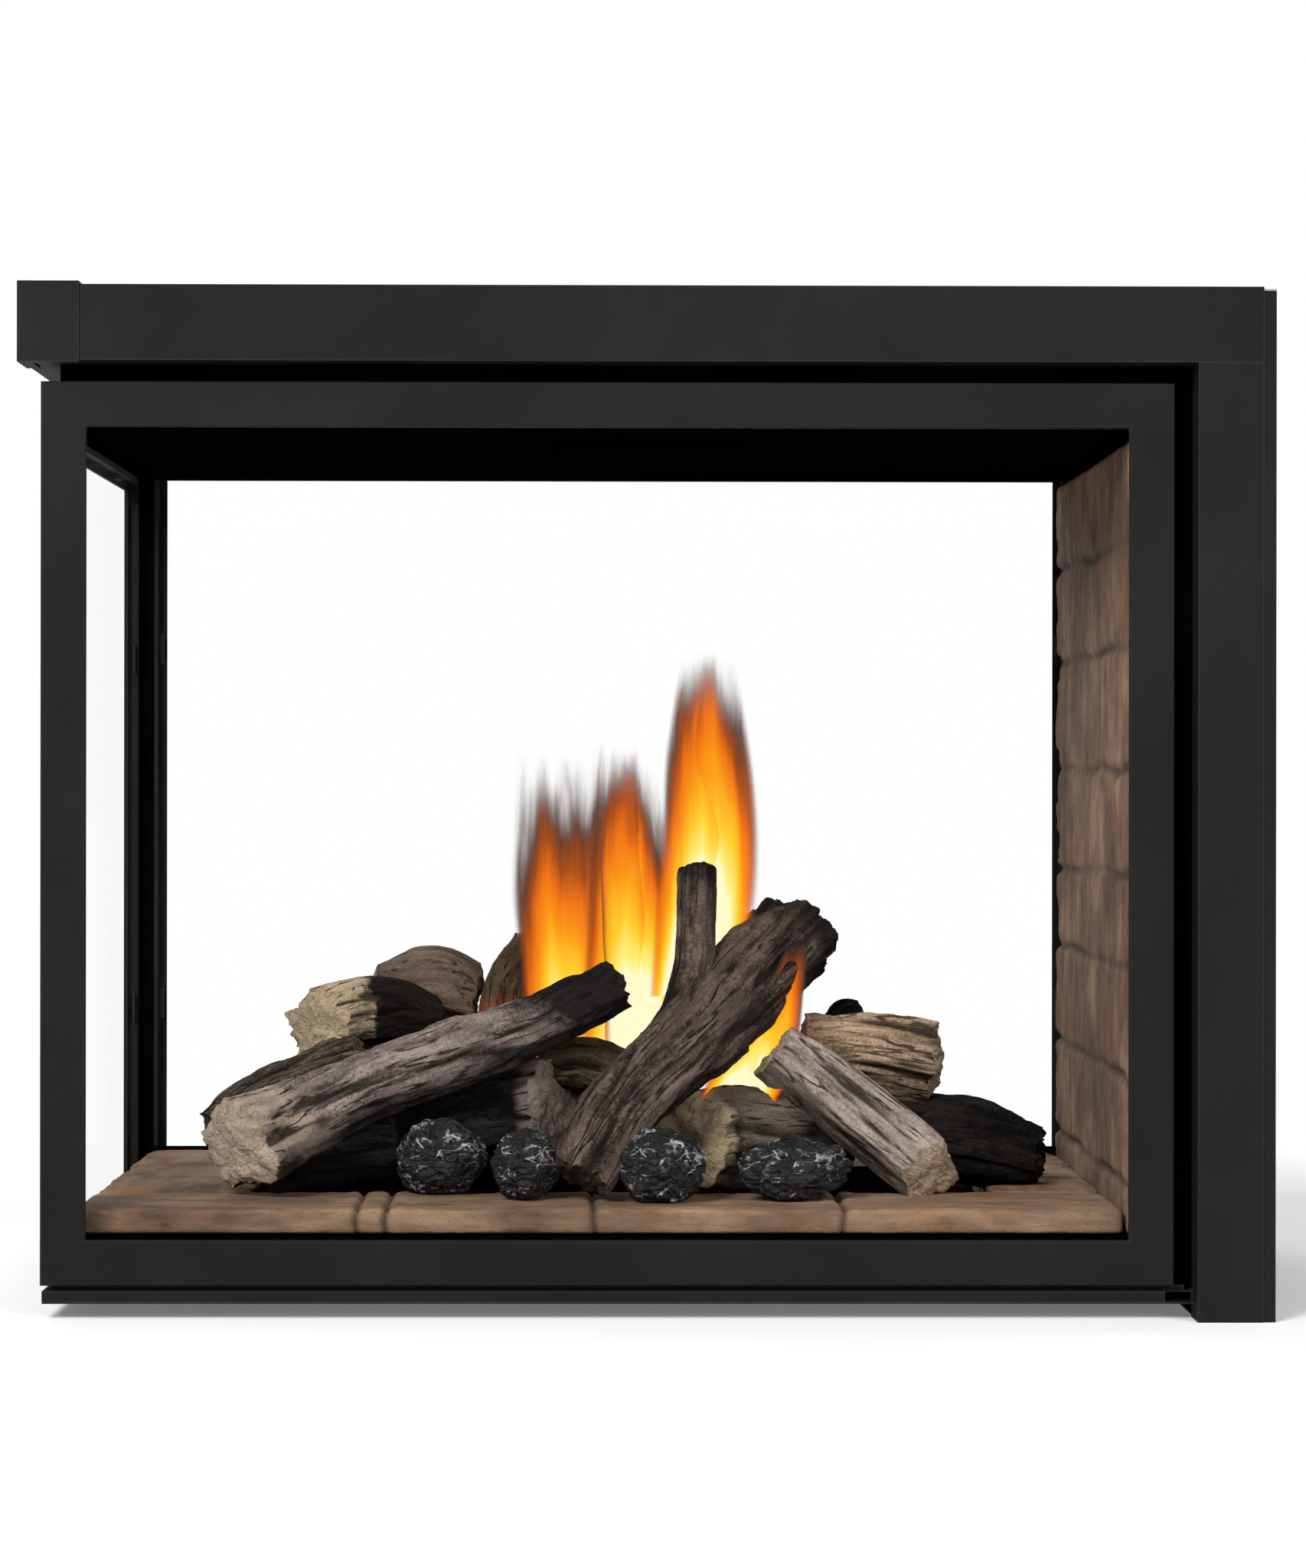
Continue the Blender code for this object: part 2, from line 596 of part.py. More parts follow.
def firebox_top():
    """The ceiling plate, with the exhaust hole, two relief ports and the ears and pins of their flaps."""
    inset = SHEET + SEAT
    tray = block("firebox_top", (WALL_LEFT + inset, WALL_FRONT + inset, CEILING_BOTTOM),
                 (TRAY_RIGHT - inset, -WALL_FRONT - inset, CEILING_TOP), "black sheet")
    hole = rod("hole", (0, 0, CEILING_BOTTOM - OVERRUN), "Z", EXHAUST_RADIUS - COLLAR_WALL, 2 * OVERRUN,
               "black sheet", 48)
    cut(tray, hole)
    for side in (-1, 1):
        middle = side * FLAP_SPREAD / 2
        half = FLAP_LENGTH / 2 - FLAP_MARGIN
        deep = FLAP_DEPTH / 2 - FLAP_MARGIN
        cut(tray, block("port", (middle - half, -deep, CEILING_BOTTOM - OVERRUN),
                        (middle + half, deep, CEILING_TOP + OVERRUN), "black sheet"))
        for end in (-1, 1):
            near = middle + end * (FLAP_LENGTH / 2 + SEAT)
            span = sorted((near, near + end * FLAP_EAR))
            ear = block("ear", (span[0], HINGE_LINE - FLAP_HINGE_RADIUS, CEILING_TOP - SHEET / 2),
                        (span[1], HINGE_LINE + FLAP_HINGE_RADIUS, HINGE_LEVEL + FLAP_HINGE_RADIUS),
                        "black sheet")
            fused(tray, ear)
        reach = FLAP_LENGTH / 2 + SEAT + FLAP_EAR / 2
        fused(tray, rod("pin", (middle - reach, HINGE_LINE, HINGE_LEVEL), "X", FLAP_PIN_RADIUS, 2 * reach,
                        "black sheet", 12))
    return tray


def frame_band(bottom, top):
    """Four walls of sheet round the firebox, from one height to another."""
    def loop(inset, height):
        return (WALL_LEFT + inset, TRAY_RIGHT - inset, WALL_FRONT + inset, -WALL_FRONT - inset, height)

    return stacked("firebox_frame", [loop(SHEET, bottom), loop(0, bottom), loop(0, top), loop(SHEET, top)],
                   "black sheet", closed=True)


def firebox_frame():
    """The welded frame that holds floor, ceiling and glass doors: a band of walls below the doorways,
    another above them, corner uprights between, a rear lip and the spring catches of the doors."""
    foot = PAN_TOP + SEAT
    frame = frame_band(foot, FLOOR_TOP)
    fused(frame, frame_band(OPENING_TOP, TOP_PLATE_BOTTOM - SEAT))
    for side in (-1, 1):
        outline = [(WALL_LEFT, WALL_FRONT), (WALL_LEFT + CORNER_ANGLE, WALL_FRONT),
                   (WALL_LEFT + CORNER_ANGLE, INNER_FRONT), (WALL_LEFT + SHEET, INNER_FRONT),
                   (WALL_LEFT + SHEET, WALL_FRONT + CORNER_ANGLE), (WALL_LEFT, WALL_FRONT + CORNER_ANGLE)]
        fused(frame, extruded("upright", mirrored(outline, side), "Z", foot, OPENING_TOP + SHEET,
                              "black sheet"))
        for place in (-DOOR_WIDTH / 4, DOOR_WIDTH / 4):
            span = sorted((side * -(WALL_FRONT - CATCH_REACH), side * -(WALL_FRONT + SHEET / 2)))
            fused(frame, block("catch", (place - CATCH_WIDTH / 2, span[0], CATCH_LEVEL),
                               (place + CATCH_WIDTH / 2, span[1], CATCH_LEVEL + SHEET), "black sheet"))
    fused(frame, block("catch", (WALL_LEFT - CATCH_REACH, -CATCH_WIDTH / 2, CATCH_LEVEL),
                       (WALL_LEFT + SHEET / 2, CATCH_WIDTH / 2, CATCH_LEVEL + SHEET), "black sheet"))
    fused(frame, block("lip", (WALL_LEFT, -INNER_FRONT, FLOOR_TOP - SHEET),
                       (TRAY_RIGHT, -WALL_FRONT, REAR_LIP_TOP), "black sheet"))
    supply = rod("supply", (TRAY_RIGHT - OVERRUN, BURNER_LINE, PIPE_LEVEL), "X", PIPE_RADIUS + SEAT,
                 2 * OVERRUN, "black sheet")
    lead = rod("lead", (TRAY_RIGHT - OVERRUN, PILOT_LINE, PIPE_LEVEL), "X", PILOT_TUBE_RADIUS + SEAT,
               2 * OVERRUN, "black sheet")
    return cut(frame, supply, lead)


def firebox_wall():
    outline = [(WALL_RIGHT, WALL_FRONT), (PAN_RIGHT, WALL_FRONT), (PAN_RIGHT, INNER_FRONT),
               (WALL_OUTSIDE, INNER_FRONT), (WALL_OUTSIDE, -INNER_FRONT), (PAN_RIGHT, -INNER_FRONT),
               (PAN_RIGHT, -WALL_FRONT), (WALL_RIGHT, -WALL_FRONT)]
    wall = extruded("firebox_wall_right", outline, "Z", DOOR_BOTTOM, TOP_PLATE_BOTTOM - SEAT, "black sheet")
    supply = rod("supply", (WALL_RIGHT - OVERRUN, BURNER_LINE, PIPE_LEVEL), "X", PIPE_RADIUS + SEAT,
                 2 * OVERRUN, "black sheet")
    lead = rod("lead", (WALL_RIGHT - OVERRUN, PILOT_LINE, PIPE_LEVEL), "X", PILOT_TUBE_RADIUS + SEAT,
               2 * OVERRUN, "black sheet")
    return cut(wall, supply, lead)


# Brickwork
COURSE_SHARES = (0.063, 0.198, 0.337, 0.45, 0.587, 0.741, 0.876)
STRETCHER_SHARES = (0.42, 0.78, 0.3, 0.62, 0.86, 0.38, 0.7, 0.25)
FRONT_JOINT_SHARES = (0.268, 0.494, 0.733)
SIDE_JOINT_SHARES = (0.3, 0.62)
REAR_JOINT_SHARES = (0.3, 0.65)


def eased(obj, width, segments=2):
    """Rounded edges, as a moulded refractory piece has."""
    bevel = obj.modifiers.new("Eased edges", "BEVEL")
    bevel.width = width
    bevel.segments = segments
    settled(obj)
    return obj


def grooved(obj, grooves):
    """Brick joints sunk into the surface: each groove is a block between two corners."""
    for low, high in grooves:
        cut(obj, block("joint", low, high, "fire brick"))
    return obj


def brick_panel():
    low = (BRICK_FACE, INNER_FRONT + SEAT, FLOOR_SEAT)
    high = (TRAY_RIGHT, -INNER_FRONT - SEAT, BRICK_PANEL_TOP)
    panel = eased(block("brick_panel_right", low, high, "fire brick"), JOINT_DEPTH, 1)
    height = BRICK_PANEL_TOP - HEARTH_TOP
    depth = high[1] - low[1]
    edge = BRICK_FACE + JOINT_DEPTH
    levels = [HEARTH_TOP + share * height for share in COURSE_SHARES]
    grooves = [((low[0] - OVERRUN, low[1] - OVERRUN, level - JOINT_WIDTH / 2),
                (edge, high[1] + OVERRUN, level + JOINT_WIDTH / 2)) for level in levels]
    floors = [HEARTH_TOP] + levels
    roofs = levels + [BRICK_PANEL_TOP + OVERRUN]
    for floor, roof, share in zip(floors, roofs, STRETCHER_SHARES):
        middle = low[1] + share * depth
        grooves.append(((low[0] - OVERRUN, middle - JOINT_WIDTH / 2, floor + JOINT_WIDTH / 2 + SEAT),
                        (edge, middle + JOINT_WIDTH / 2, roof - JOINT_WIDTH / 2 - SEAT)))
    return grooved(panel, grooves)


def hearth(name, left, right, front, rear, axis, shares):
    """One moulded ledge of hearth bricks, with its joints across it."""
    slab = eased(block(name, (left, front, FLOOR_SEAT), (right, rear, HEARTH_TOP), "fire brick"), HEARTH_ROUND)
    grooves = []
    for share in shares:
        if axis == "X":
            middle = left + share * (right - left)
            grooves.append(((middle - JOINT_WIDTH / 2, front - OVERRUN, HEARTH_TOP - JOINT_DEPTH),
                            (middle + JOINT_WIDTH / 2, rear + OVERRUN, HEARTH_TOP + OVERRUN)))
            grooves.append(((middle - JOINT_WIDTH / 2, front - OVERRUN, FLOOR_TOP - OVERRUN),
                            (middle + JOINT_WIDTH / 2, front + JOINT_DEPTH, HEARTH_TOP - JOINT_DEPTH / 2)))
        else:
            middle = front + share * (rear - front)
            grooves.append(((left - OVERRUN, middle - JOINT_WIDTH / 2, HEARTH_TOP - JOINT_DEPTH),
                            (right + OVERRUN, middle + JOINT_WIDTH / 2, HEARTH_TOP + OVERRUN)))
    return grooved(slab, grooves)


# Glass doors
def door_frame(name, width, thickness, rails):
    """A mitred frame in its own place: across X, up Z, its face at Y 0 and its back at the thickness."""
    left_rail, right_rail, bottom_rail, top_rail = rails
    section = [(0, 0, FRAME_EDGE), (0, FRAME_EDGE, 0), (1, -FRAME_EDGE, 0), (1, 0, FRAME_EDGE), (1, 0, GLASS_LIP),
               (1, -GLASS_REBATE, GLASS_LIP), (1, -GLASS_REBATE, thickness), (0, 0, thickness)]
    form = bmesh.new()
    rings = []
    for across, up in ((0, 0), (1, 0), (1, 1), (0, 1)):
        side_rail = right_rail if across else left_rail
        flat_rail = top_rail if up else bottom_rail
        corner = []
        for inner, offset, depth in section:
            x = side_rail * inner + offset
            z = flat_rail * inner + offset
            corner.append(form.verts.new((width - x if across else x, depth, DOOR_HEIGHT - z if up else z)))
        rings.append(corner)
    count = len(section)
    for i in range(4):
        for j in range(count):
            k = (j + 1) % count
            form.faces.new((rings[i][j], rings[i][k], rings[i - 1][k], rings[i - 1][j]))
    frame = piece(name, form, "charcoal sheet")
    behind = GLASS_LIP + GLASS_THICKNESS + 2 * SEAT
    inner_left = left_rail - GLASS_REBATE
    inner_right = width - right_rail + GLASS_REBATE
    inner_bottom = bottom_rail - GLASS_REBATE
    inner_top = DOOR_HEIGHT - top_rail + GLASS_REBATE
    for share in (1 / 4, 3 / 4):
        x = inner_left + share * (inner_right - inner_left)
        z = inner_bottom + share * (inner_top - inner_bottom)
        for low, high in (((x, inner_bottom - CLIP_REACH), (x, inner_bottom + CLIP_REACH)),
                          ((x, inner_top - CLIP_REACH), (x, inner_top + CLIP_REACH))):
            fused(frame, block("clip", (low[0] - CLIP_LENGTH / 2, behind, low[1]),
                               (high[0] + CLIP_LENGTH / 2, behind + SHEET, high[1]), "charcoal sheet"))
        for low, high in (((inner_left - CLIP_REACH, z), (inner_left + CLIP_REACH, z)),
                          ((inner_right - CLIP_REACH, z), (inner_right + CLIP_REACH, z))):
            fused(frame, block("clip", (low[0], behind, low[1] - CLIP_LENGTH / 2),
                               (high[0], behind + SHEET, high[1] + CLIP_LENGTH / 2), "charcoal sheet"))
    return frame


def door_glass(name, width, rails):
    left_rail, right_rail, bottom_rail, top_rail = rails
    edge = GLASS_REBATE - SEAT
    low = (left_rail - edge, GLASS_LIP + SEAT, bottom_rail - edge)
    high = (width - right_rail + edge, GLASS_LIP + SEAT + GLASS_THICKNESS, DOOR_HEIGHT - top_rail + edge)
    return block(name, low, high, "glass")


def hung(side, corner, turn, *parts):
    """Hangs a door's frame and glass on an empty, which stands on the line that the door tilts about."""
    hinge = bpy.data.objects.new(side + "_hinge", None)
    hinge.location = corner
    hinge.rotation_euler = (0, 0, turn)
    bpy.context.scene.collection.objects.link(hinge)
    for part in parts:
        part.parent = hinge


def doors():
    rails = (DOOR_RAIL, DOOR_RAIL, DOOR_RAIL, DOOR_RAIL)
    end_rails = (END_STILE, END_STILE, DOOR_RAIL, END_TOP_RAIL)
    end_width = 2 * (-WALL_FRONT)
    hung("front_door", (DOOR_LEFT, DOOR_FACE, DOOR_BOTTOM), 0,
         door_frame("front_door_frame", DOOR_WIDTH, DOOR_THICKNESS, rails),
         door_glass("front_door_glass", DOOR_WIDTH, rails))
    hung("rear_door", (DOOR_LEFT + DOOR_WIDTH, -DOOR_FACE, DOOR_BOTTOM), math.pi,
         door_frame("rear_door_frame", DOOR_WIDTH, DOOR_THICKNESS, rails),
         door_glass("rear_door_glass", DOOR_WIDTH, rails))
    hung("end_door", (DOOR_LEFT, -WALL_FRONT, DOOR_BOTTOM), -math.pi / 2,
         door_frame("end_door_frame", end_width, END_DOOR_THICKNESS, end_rails),
         door_glass("end_door_glass", end_width, end_rails))


# Vent
def collar(name, outer, start, top):
    inner = outer - COLLAR_WALL
    profile = [(inner, start), (outer + COLLAR_FLANGE, start), (outer + COLLAR_FLANGE, start + SHEET),
               (outer, start + SHEET), (outer, top), (inner, top)]
    return turned(name, profile, (0, 0, 0), "Z", "galvanised sheet", 48)


def relief_flap(name, middle):
    half = FLAP_LENGTH / 2
    bottom = CEILING_TOP + SEAT
    plate = block(name, (middle - half, -FLAP_DEPTH / 2, bottom), (middle + half, HINGE_LINE, bottom + SHEET),
                  "galvanised sheet")
    barrel = rod("barrel", (middle - half, HINGE_LINE, HINGE_LEVEL), "X", FLAP_HINGE_RADIUS, FLAP_LENGTH,
                 "galvanised sheet", 16)
    fused(plate, barrel)
    bore = rod("bore", (middle - half - OVERRUN, HINGE_LINE, HINGE_LEVEL), "X",
               FLAP_PIN_RADIUS + FLAP_PIN_CLEARANCE, FLAP_LENGTH + 2 * OVERRUN, "galvanised sheet", 12)
    return pivoted(cut(plate, bore), (middle, HINGE_LINE, HINGE_LEVEL))


def exhaust_baffle():
    """A bent plate that hangs on its two edges below the exhaust hole."""
    half = BAFFLE_WIDTH / 2
    bottom = CEILING_BOTTOM - BAFFLE_DROP
    top = CEILING_BOTTOM - SEAT
    outline = [(-half, bottom), (half, bottom), (half, top), (half - SHEET, top), (half - SHEET, bottom + SHEET),
               (SHEET - half, bottom + SHEET), (SHEET - half, top), (-half, top)]
    return extruded("exhaust_baffle", outline, "Y", -BAFFLE_DEPTH / 2, BAFFLE_DEPTH / 2, "black sheet")


# Burner and gas train

def burner_pan():
    top = FLOOR_TOP + BURNER_HEIGHT
    pan = eased(block("burner_pan", (BURNER_LEFT, BURNER_FRONT, FLOOR_SEAT), (BURNER_RIGHT, BURNER_REAR, top),
                      "burner steel"), FRAME_EDGE, 1)
    ports = bmesh.new()
    for row in PORT_ROW_SHARES:
        y = BURNER_FRONT + row * (BURNER_REAR - BURNER_FRONT)
        for column in range(PORT_COLUMNS):
            x = BURNER_LEFT + (column + 1 / 2) / PORT_COLUMNS * (BURNER_RIGHT - BURNER_LEFT)
            box(ports, (x - PORT_WIDTH / 2, y - PORT_LENGTH / 2, top - PORT_DEPTH),
                (x + PORT_WIDTH / 2, y + PORT_LENGTH / 2, top + OVERRUN))
    throat = rod("throat", (VENTURI_END, BURNER_LINE, FLOOR_TOP - OVERRUN), "Z", VENTURI_RADIUS - VENTURI_WALL,
                 OVERRUN + THROAT_DEPTH, "burner steel")
    return cut(pan, piece("ports", ports, "burner steel"), throat)


def shutter_windows(name):
    """The air windows, in the top and the bottom of both the tube and its shutter."""
    middle = VENTURI_MOUTH - SHUTTER_LENGTH / 2 - FRAME_EDGE
    reach = VENTURI_RADIUS + OVERRUN
    low = (middle - WINDOW_LENGTH / 2, BURNER_LINE - WINDOW_WIDTH / 2, PIPE_LEVEL - reach)
    high = (middle + WINDOW_LENGTH / 2, BURNER_LINE + WINDOW_WIDTH / 2, PIPE_LEVEL + reach)
    return block(name, low, high, "burner steel")


def venturi_tube():
    bend = FLOOR_TOP - PIPE_LEVEL - SHEET
    path = bent([(VENTURI_MOUTH, BURNER_LINE, PIPE_LEVEL), (VENTURI_END, BURNER_LINE, PIPE_LEVEL),
                 (VENTURI_END, BURNER_LINE, FLOOR_TOP)], bend)
    tube = swept("venturi_tube", path, VENTURI_RADIUS, "burner steel", VENTURI_RADIUS - VENTURI_WALL, 24)
    return cut(tube, shutter_windows("windows"))


def air_shutter():
    inner = VENTURI_RADIUS + SEAT
    outer = inner + SHUTTER_WALL
    start = VENTURI_MOUTH - SHUTTER_LENGTH - FRAME_EDGE
    profile = [(inner, 0), (outer, 0), (outer, SHUTTER_LENGTH), (inner, SHUTTER_LENGTH)]
    sleeve = turned("air_shutter", profile, (start, BURNER_LINE, PIPE_LEVEL), "X", "galvanised sheet", 32)
    cut(sleeve, shutter_windows("windows"))
    tab = block("tab", (start, BURNER_LINE - outer - SHUTTER_TAB, PIPE_LEVEL - SHEET / 2),
                (start + TAB_WIDTH, BURNER_LINE - inner - SHUTTER_WALL / 2, PIPE_LEVEL + SHEET / 2),
                "galvanised sheet")
    return pivoted(fused(sleeve, tab), (start, BURNER_LINE, PIPE_LEVEL))


def manifold_pipe():
    """The burner's supply pipe, with its brass orifice screwed on the end that faces the venturi."""
    nozzle = VENTURI_MOUTH + ORIFICE_STANDOFF
    profile = [(0, 0), (ORIFICE_RADIUS / 3, 0), (ORIFICE_RADIUS, ORIFICE_LENGTH / 3),
               (ORIFICE_RADIUS, ORIFICE_LENGTH), (0, ORIFICE_LENGTH)]
    orifice = turned("orifice", profile, (nozzle, BURNER_LINE, PIPE_LEVEL), "X", "brass", 6, closed=False,
                     smooth_angle=None)
    path = bent([(nozzle + ORIFICE_LENGTH / 2, BURNER_LINE, PIPE_LEVEL), (VALVE_MIDDLE, BURNER_LINE, PIPE_LEVEL),
                 (VALVE_MIDDLE, BURNER_LINE, VALVE_BOTTOM - VALVE_BOSS - SEAT)], PIPE_BEND)
    return fused(swept("manifold_pipe", path, PIPE_RADIUS, "valve body"), orifice)


def pilot_tube():
    path = bent([(PILOT_PLACE, PILOT_LINE, FLOOR_TOP), (PILOT_PLACE, PILOT_LINE, PIPE_LEVEL),
                 (VALVE_MIDDLE, PILOT_LINE, PIPE_LEVEL),
                 (VALVE_MIDDLE, PILOT_LINE, VALVE_BOTTOM - VALVE_BOSS - SEAT)], PILOT_TUBE_BEND)
    return swept("pilot_tube", path, PILOT_TUBE_RADIUS, "brass", sides=10)


def gas_valve():
    body = eased(block("gas_valve", (VALVE_LEFT, -VALVE_LENGTH / 2, VALVE_BOTTOM),
                       (VALVE_FACE, VALVE_LENGTH / 2, VALVE_BOTTOM + VALVE_HEIGHT), "valve body"), VALVE_EDGE, 2)
    outlet = rod("outlet", (VALVE_MIDDLE, BURNER_LINE, VALVE_BOTTOM - VALVE_BOSS), "Z", VALVE_BOSS_RADIUS,
                 2 * VALVE_BOSS, "valve body", 6)
    pilot = rod("pilot", (VALVE_MIDDLE, PILOT_LINE, VALVE_BOTTOM - VALVE_BOSS), "Z", VALVE_BOSS_RADIUS / 2,
                2 * VALVE_BOSS, "valve body", 6)
    inlet = rod("inlet", (VALVE_MIDDLE, VALVE_LENGTH / 2 - VALVE_BOSS, VALVE_HEIGHT_ABOVE_FLOOR), "Y",
                VALVE_BOSS_RADIUS, 2 * VALVE_BOSS, "valve body", 6)
    return fused(body, outlet, pilot, inlet)


def valve_knob(name, middle):
    """A turned knob with a raised finger grip across its face."""
    half = KNOB_HEIGHT / 2
    centre = (VALVE_FACE + SEAT, middle, VALVE_HEIGHT_ABOVE_FLOOR)
    profile = [(0, 0), (KNOB_RADIUS, 0), (KNOB_RADIUS, half - FRAME_EDGE), (KNOB_RADIUS - FRAME_EDGE, half),
               (0, half)]
    knob = turned(name, profile, centre, "X", "knob plastic", 32, closed=False)
    grip = KNOB_RADIUS / 4
    bar = eased(block("grip", (centre[0] + half / 2, middle - grip, centre[2] - KNOB_RADIUS + FRAME_EDGE),
                      (centre[0] + KNOB_HEIGHT, middle + grip, centre[2] + KNOB_RADIUS - FRAME_EDGE),
                      "knob plastic"), FRAME_EDGE, 1)
    return pivoted(fused(knob, bar), centre)


def shutoff_valve():
    radius = SHUTOFF_RADIUS
    flat = SHUTOFF_LENGTH
    profile = [(0, 0), (radius, 0), (radius, flat / 4), (radius - FRAME_EDGE * 2, flat / 3),
               (radius - FRAME_EDGE * 2, flat * 2 / 3), (radius, flat * 3 / 4), (radius, flat), (0, flat)]
    body = turned("shutoff_valve", profile, (VALVE_MIDDLE, SHUTOFF_START, VALVE_HEIGHT_ABOVE_FLOOR), "Y", "brass",
                  12, closed=False)
    stem = rod("stem", (VALVE_MIDDLE, LEVER_LINE, VALVE_HEIGHT_ABOVE_FLOOR), "X", STEM_RADIUS,
               SHUTOFF_RADIUS + STEM_LENGTH, "brass", 12)
    return fused(body, stem)


def shutoff_lever():
    start = VALVE_MIDDLE + SHUTOFF_RADIUS + STEM_LENGTH + SEAT
    half = LEVER_WIDTH / 2
    low = (start, LEVER_LINE - half, VALVE_HEIGHT_ABOVE_FLOOR - half)
    high = (start + LEVER_THICKNESS, LEVER_LINE - half + LEVER_LENGTH, VALVE_HEIGHT_ABOVE_FLOOR + half)
    lever = eased(block("shutoff_lever", low, high, "lever red"), LEVER_THICKNESS / 3, 1)
    return pivoted(lever, (start, LEVER_LINE, VALVE_HEIGHT_ABOVE_FLOOR))


def inlet_pipe():
    path = bent([(VALVE_MIDDLE, SHUTOFF_START + SHUTOFF_LENGTH + SEAT, VALVE_HEIGHT_ABOVE_FLOOR),
                 (VALVE_MIDDLE, INLET_LINE, VALVE_HEIGHT_ABOVE_FLOOR),
                 (RIGHT_FACE - SHEET / 2, INLET_LINE, VALVE_HEIGHT_ABOVE_FLOOR)], PIPE_BEND)
    return swept("gas_inlet_pipe", path, PIPE_RADIUS, "valve body", PIPE_RADIUS - SHEET)


def probe(name, side, low, finish):
    """The flame sensor or the igniter, beside the pilot hood."""
    radius = SENSOR_RADIUS
    height = SENSOR_TOP - low
    profile = [(0, 0), (radius, 0), (radius, height * 2 / 3), (radius / 2, height * 3 / 4), (radius / 2, height),
               (0, height)]
    foot = (PILOT_PLACE, PILOT_LINE + side * SENSOR_OFFSET, low)
    return turned(name, profile, foot, "Z", finish, 16, closed=False)


def pilot_burner():
    """The pilot's bracket and hood, with the igniter and the flame sensor held in the bracket's arm."""
    reach = SENSOR_OFFSET + ARM_HALF
    foot = block("pilot_burner", (PILOT_PLACE - FOOT_HALF, PILOT_LINE - reach, FLOOR_SEAT),
                 (PILOT_PLACE + FOOT_HALF, PILOT_LINE + reach, FLOOR_SEAT + SHEET), "burner steel")
    arm = block("arm", (PILOT_PLACE - ARM_HALF, PILOT_LINE - reach, ARM_LEVEL),
                (PILOT_PLACE + ARM_HALF, PILOT_LINE + reach, ARM_LEVEL + SHEET), "burner steel")
    hood = rod("hood", (PILOT_PLACE, PILOT_LINE, FLOOR_SEAT), "Z", HOOD_RADIUS, HOOD_TOP - FLOOR_SEAT,
               "burner steel")
    igniter = probe("igniter", 1, FLOOR_SEAT + SHEET / 2, "ceramic white")
    sensor = probe("sensor", -1, FLOOR_SEAT + SHEET / 2, "valve body")
    fused(foot, hood, arm, igniter, sensor)
    window = block("window", (PILOT_PLACE - 2 * HOOD_RADIUS, PILOT_LINE - HOOD_RADIUS / 2, HOOD_TOP - HOOD_RADIUS * 2),
                   (PILOT_PLACE, PILOT_LINE + HOOD_RADIUS / 2, HOOD_TOP - HOOD_RADIUS / 2), "burner steel")
    return cut(foot, window)


# Log set: where each log's middle line runs, as shares of the hearth bed's width and depth and of the
# log set's height, and how thick it is there, as a share of the usual girth
LOG_SHARES = {
    "log_fork": ((0.482, 0.110, 0.058, 0.73), (0.522, 0.177, 0.226, 0.86), (0.578, 0.263, 0.360, 1.00),
                 (0.638, 0.369, 0.514, 1.08), (0.703, 0.484, 0.674, 1.18)),
    "log_long_left": ((0.147, 0.158, 0.122, 1.06), (0.200, 0.196, 0.186, 0.85), (0.269, 0.235, 0.266, 0.76),
                      (0.342, 0.283, 0.380, 0.80), (0.421, 0.331, 0.410, 0.66), (0.467, 0.359, 0.472, 0.70),
                      (0.514, 0.388, 0.540, 0.58)),
    "log_front_right": ((0.677, 0.331, 0.366, 0.62), (0.728, 0.292, 0.264, 0.70), (0.779, 0.235, 0.154, 0.72),
                        (0.823, 0.186, 0.062, 0.68)),
    "log_top_left": ((0.209, 0.523, 0.414, 0.92), (0.268, 0.542, 0.440, 1.00), (0.327, 0.561, 0.420, 0.75)),
    "log_round_back": ((0.272, 0.657, 0.474, 0.92), (0.320, 0.657, 0.500, 1.12), (0.365, 0.657, 0.474, 0.92)),
    "log_small_dark": ((0.393, 0.610, 0.320, 0.75), (0.405, 0.630, 0.490, 0.72), (0.425, 0.650, 0.638, 0.38)),
    "log_back_right": ((0.709, 0.433, 0.346, 0.92), (0.765, 0.440, 0.340, 0.98), (0.835, 0.445, 0.310, 1.02)),
    "log_centre_right": ((0.583, 0.331, 0.124, 1.20), (0.637, 0.350, 0.128, 1.25), (0.704, 0.369, 0.120, 1.20)),
    "log_mid_black": ((0.298, 0.446, 0.140, 1.30), (0.389, 0.417, 0.160, 1.42), (0.473, 0.388, 0.180, 1.36)),
    "log_under_left": ((0.165, 0.290, 0.060, 0.64), (0.224, 0.290, 0.102, 0.78), (0.293, 0.300, 0.120, 0.79)),
    "log_back_left": ((0.118, 0.400, 0.104, 1.00), (0.165, 0.430, 0.176, 1.15), (0.232, 0.470, 0.244, 1.12)),
    "log_char_right": ((0.825, 0.427, 0.096, 1.00), (0.880, 0.408, 0.100, 0.96), (0.941, 0.388, 0.060, 0.66)),
}
BRANCH_SHARES = ((0.585, 0.300, 0.400, 0.66), (0.594, 0.345, 0.600, 0.50), (0.597, 0.369, 0.860, 0.47))
KNOB_SHARES = ((0.736, 0.600, 0.370, 0.42), (0.753, 0.610, 0.414, 0.46), (0.770, 0.615, 0.424, 0.38))
LUMP_SHARES = {
    "ember_lump_1": (0.342, 0.235, 0.082, 1.00),
    "ember_lump_2": (0.428, 0.145, 0.074, 0.80),
    "ember_lump_3": (0.561, 0.095, 0.076, 0.90),
    "ember_lump_4": (0.690, 0.135, 0.066, 0.92),
}
LOG_FINISHES = {
    "log_fork": "bark", "log_long_left": "bark", "log_front_right": "split wood", "log_top_left": "split wood",
    "log_round_back": "split wood", "log_small_dark": "charred bark", "log_back_right": "split wood",
    "log_centre_right": "bark", "log_mid_black": "charred bark", "log_under_left": "charred bark",
    "log_back_left": "bark", "log_char_right": "charred bark",
}
RIDGE_SHARES = (0.10, 0.07, 0.04)
LUMP_ROUGH_SHARES = (0.12, 0.09, 0.06)
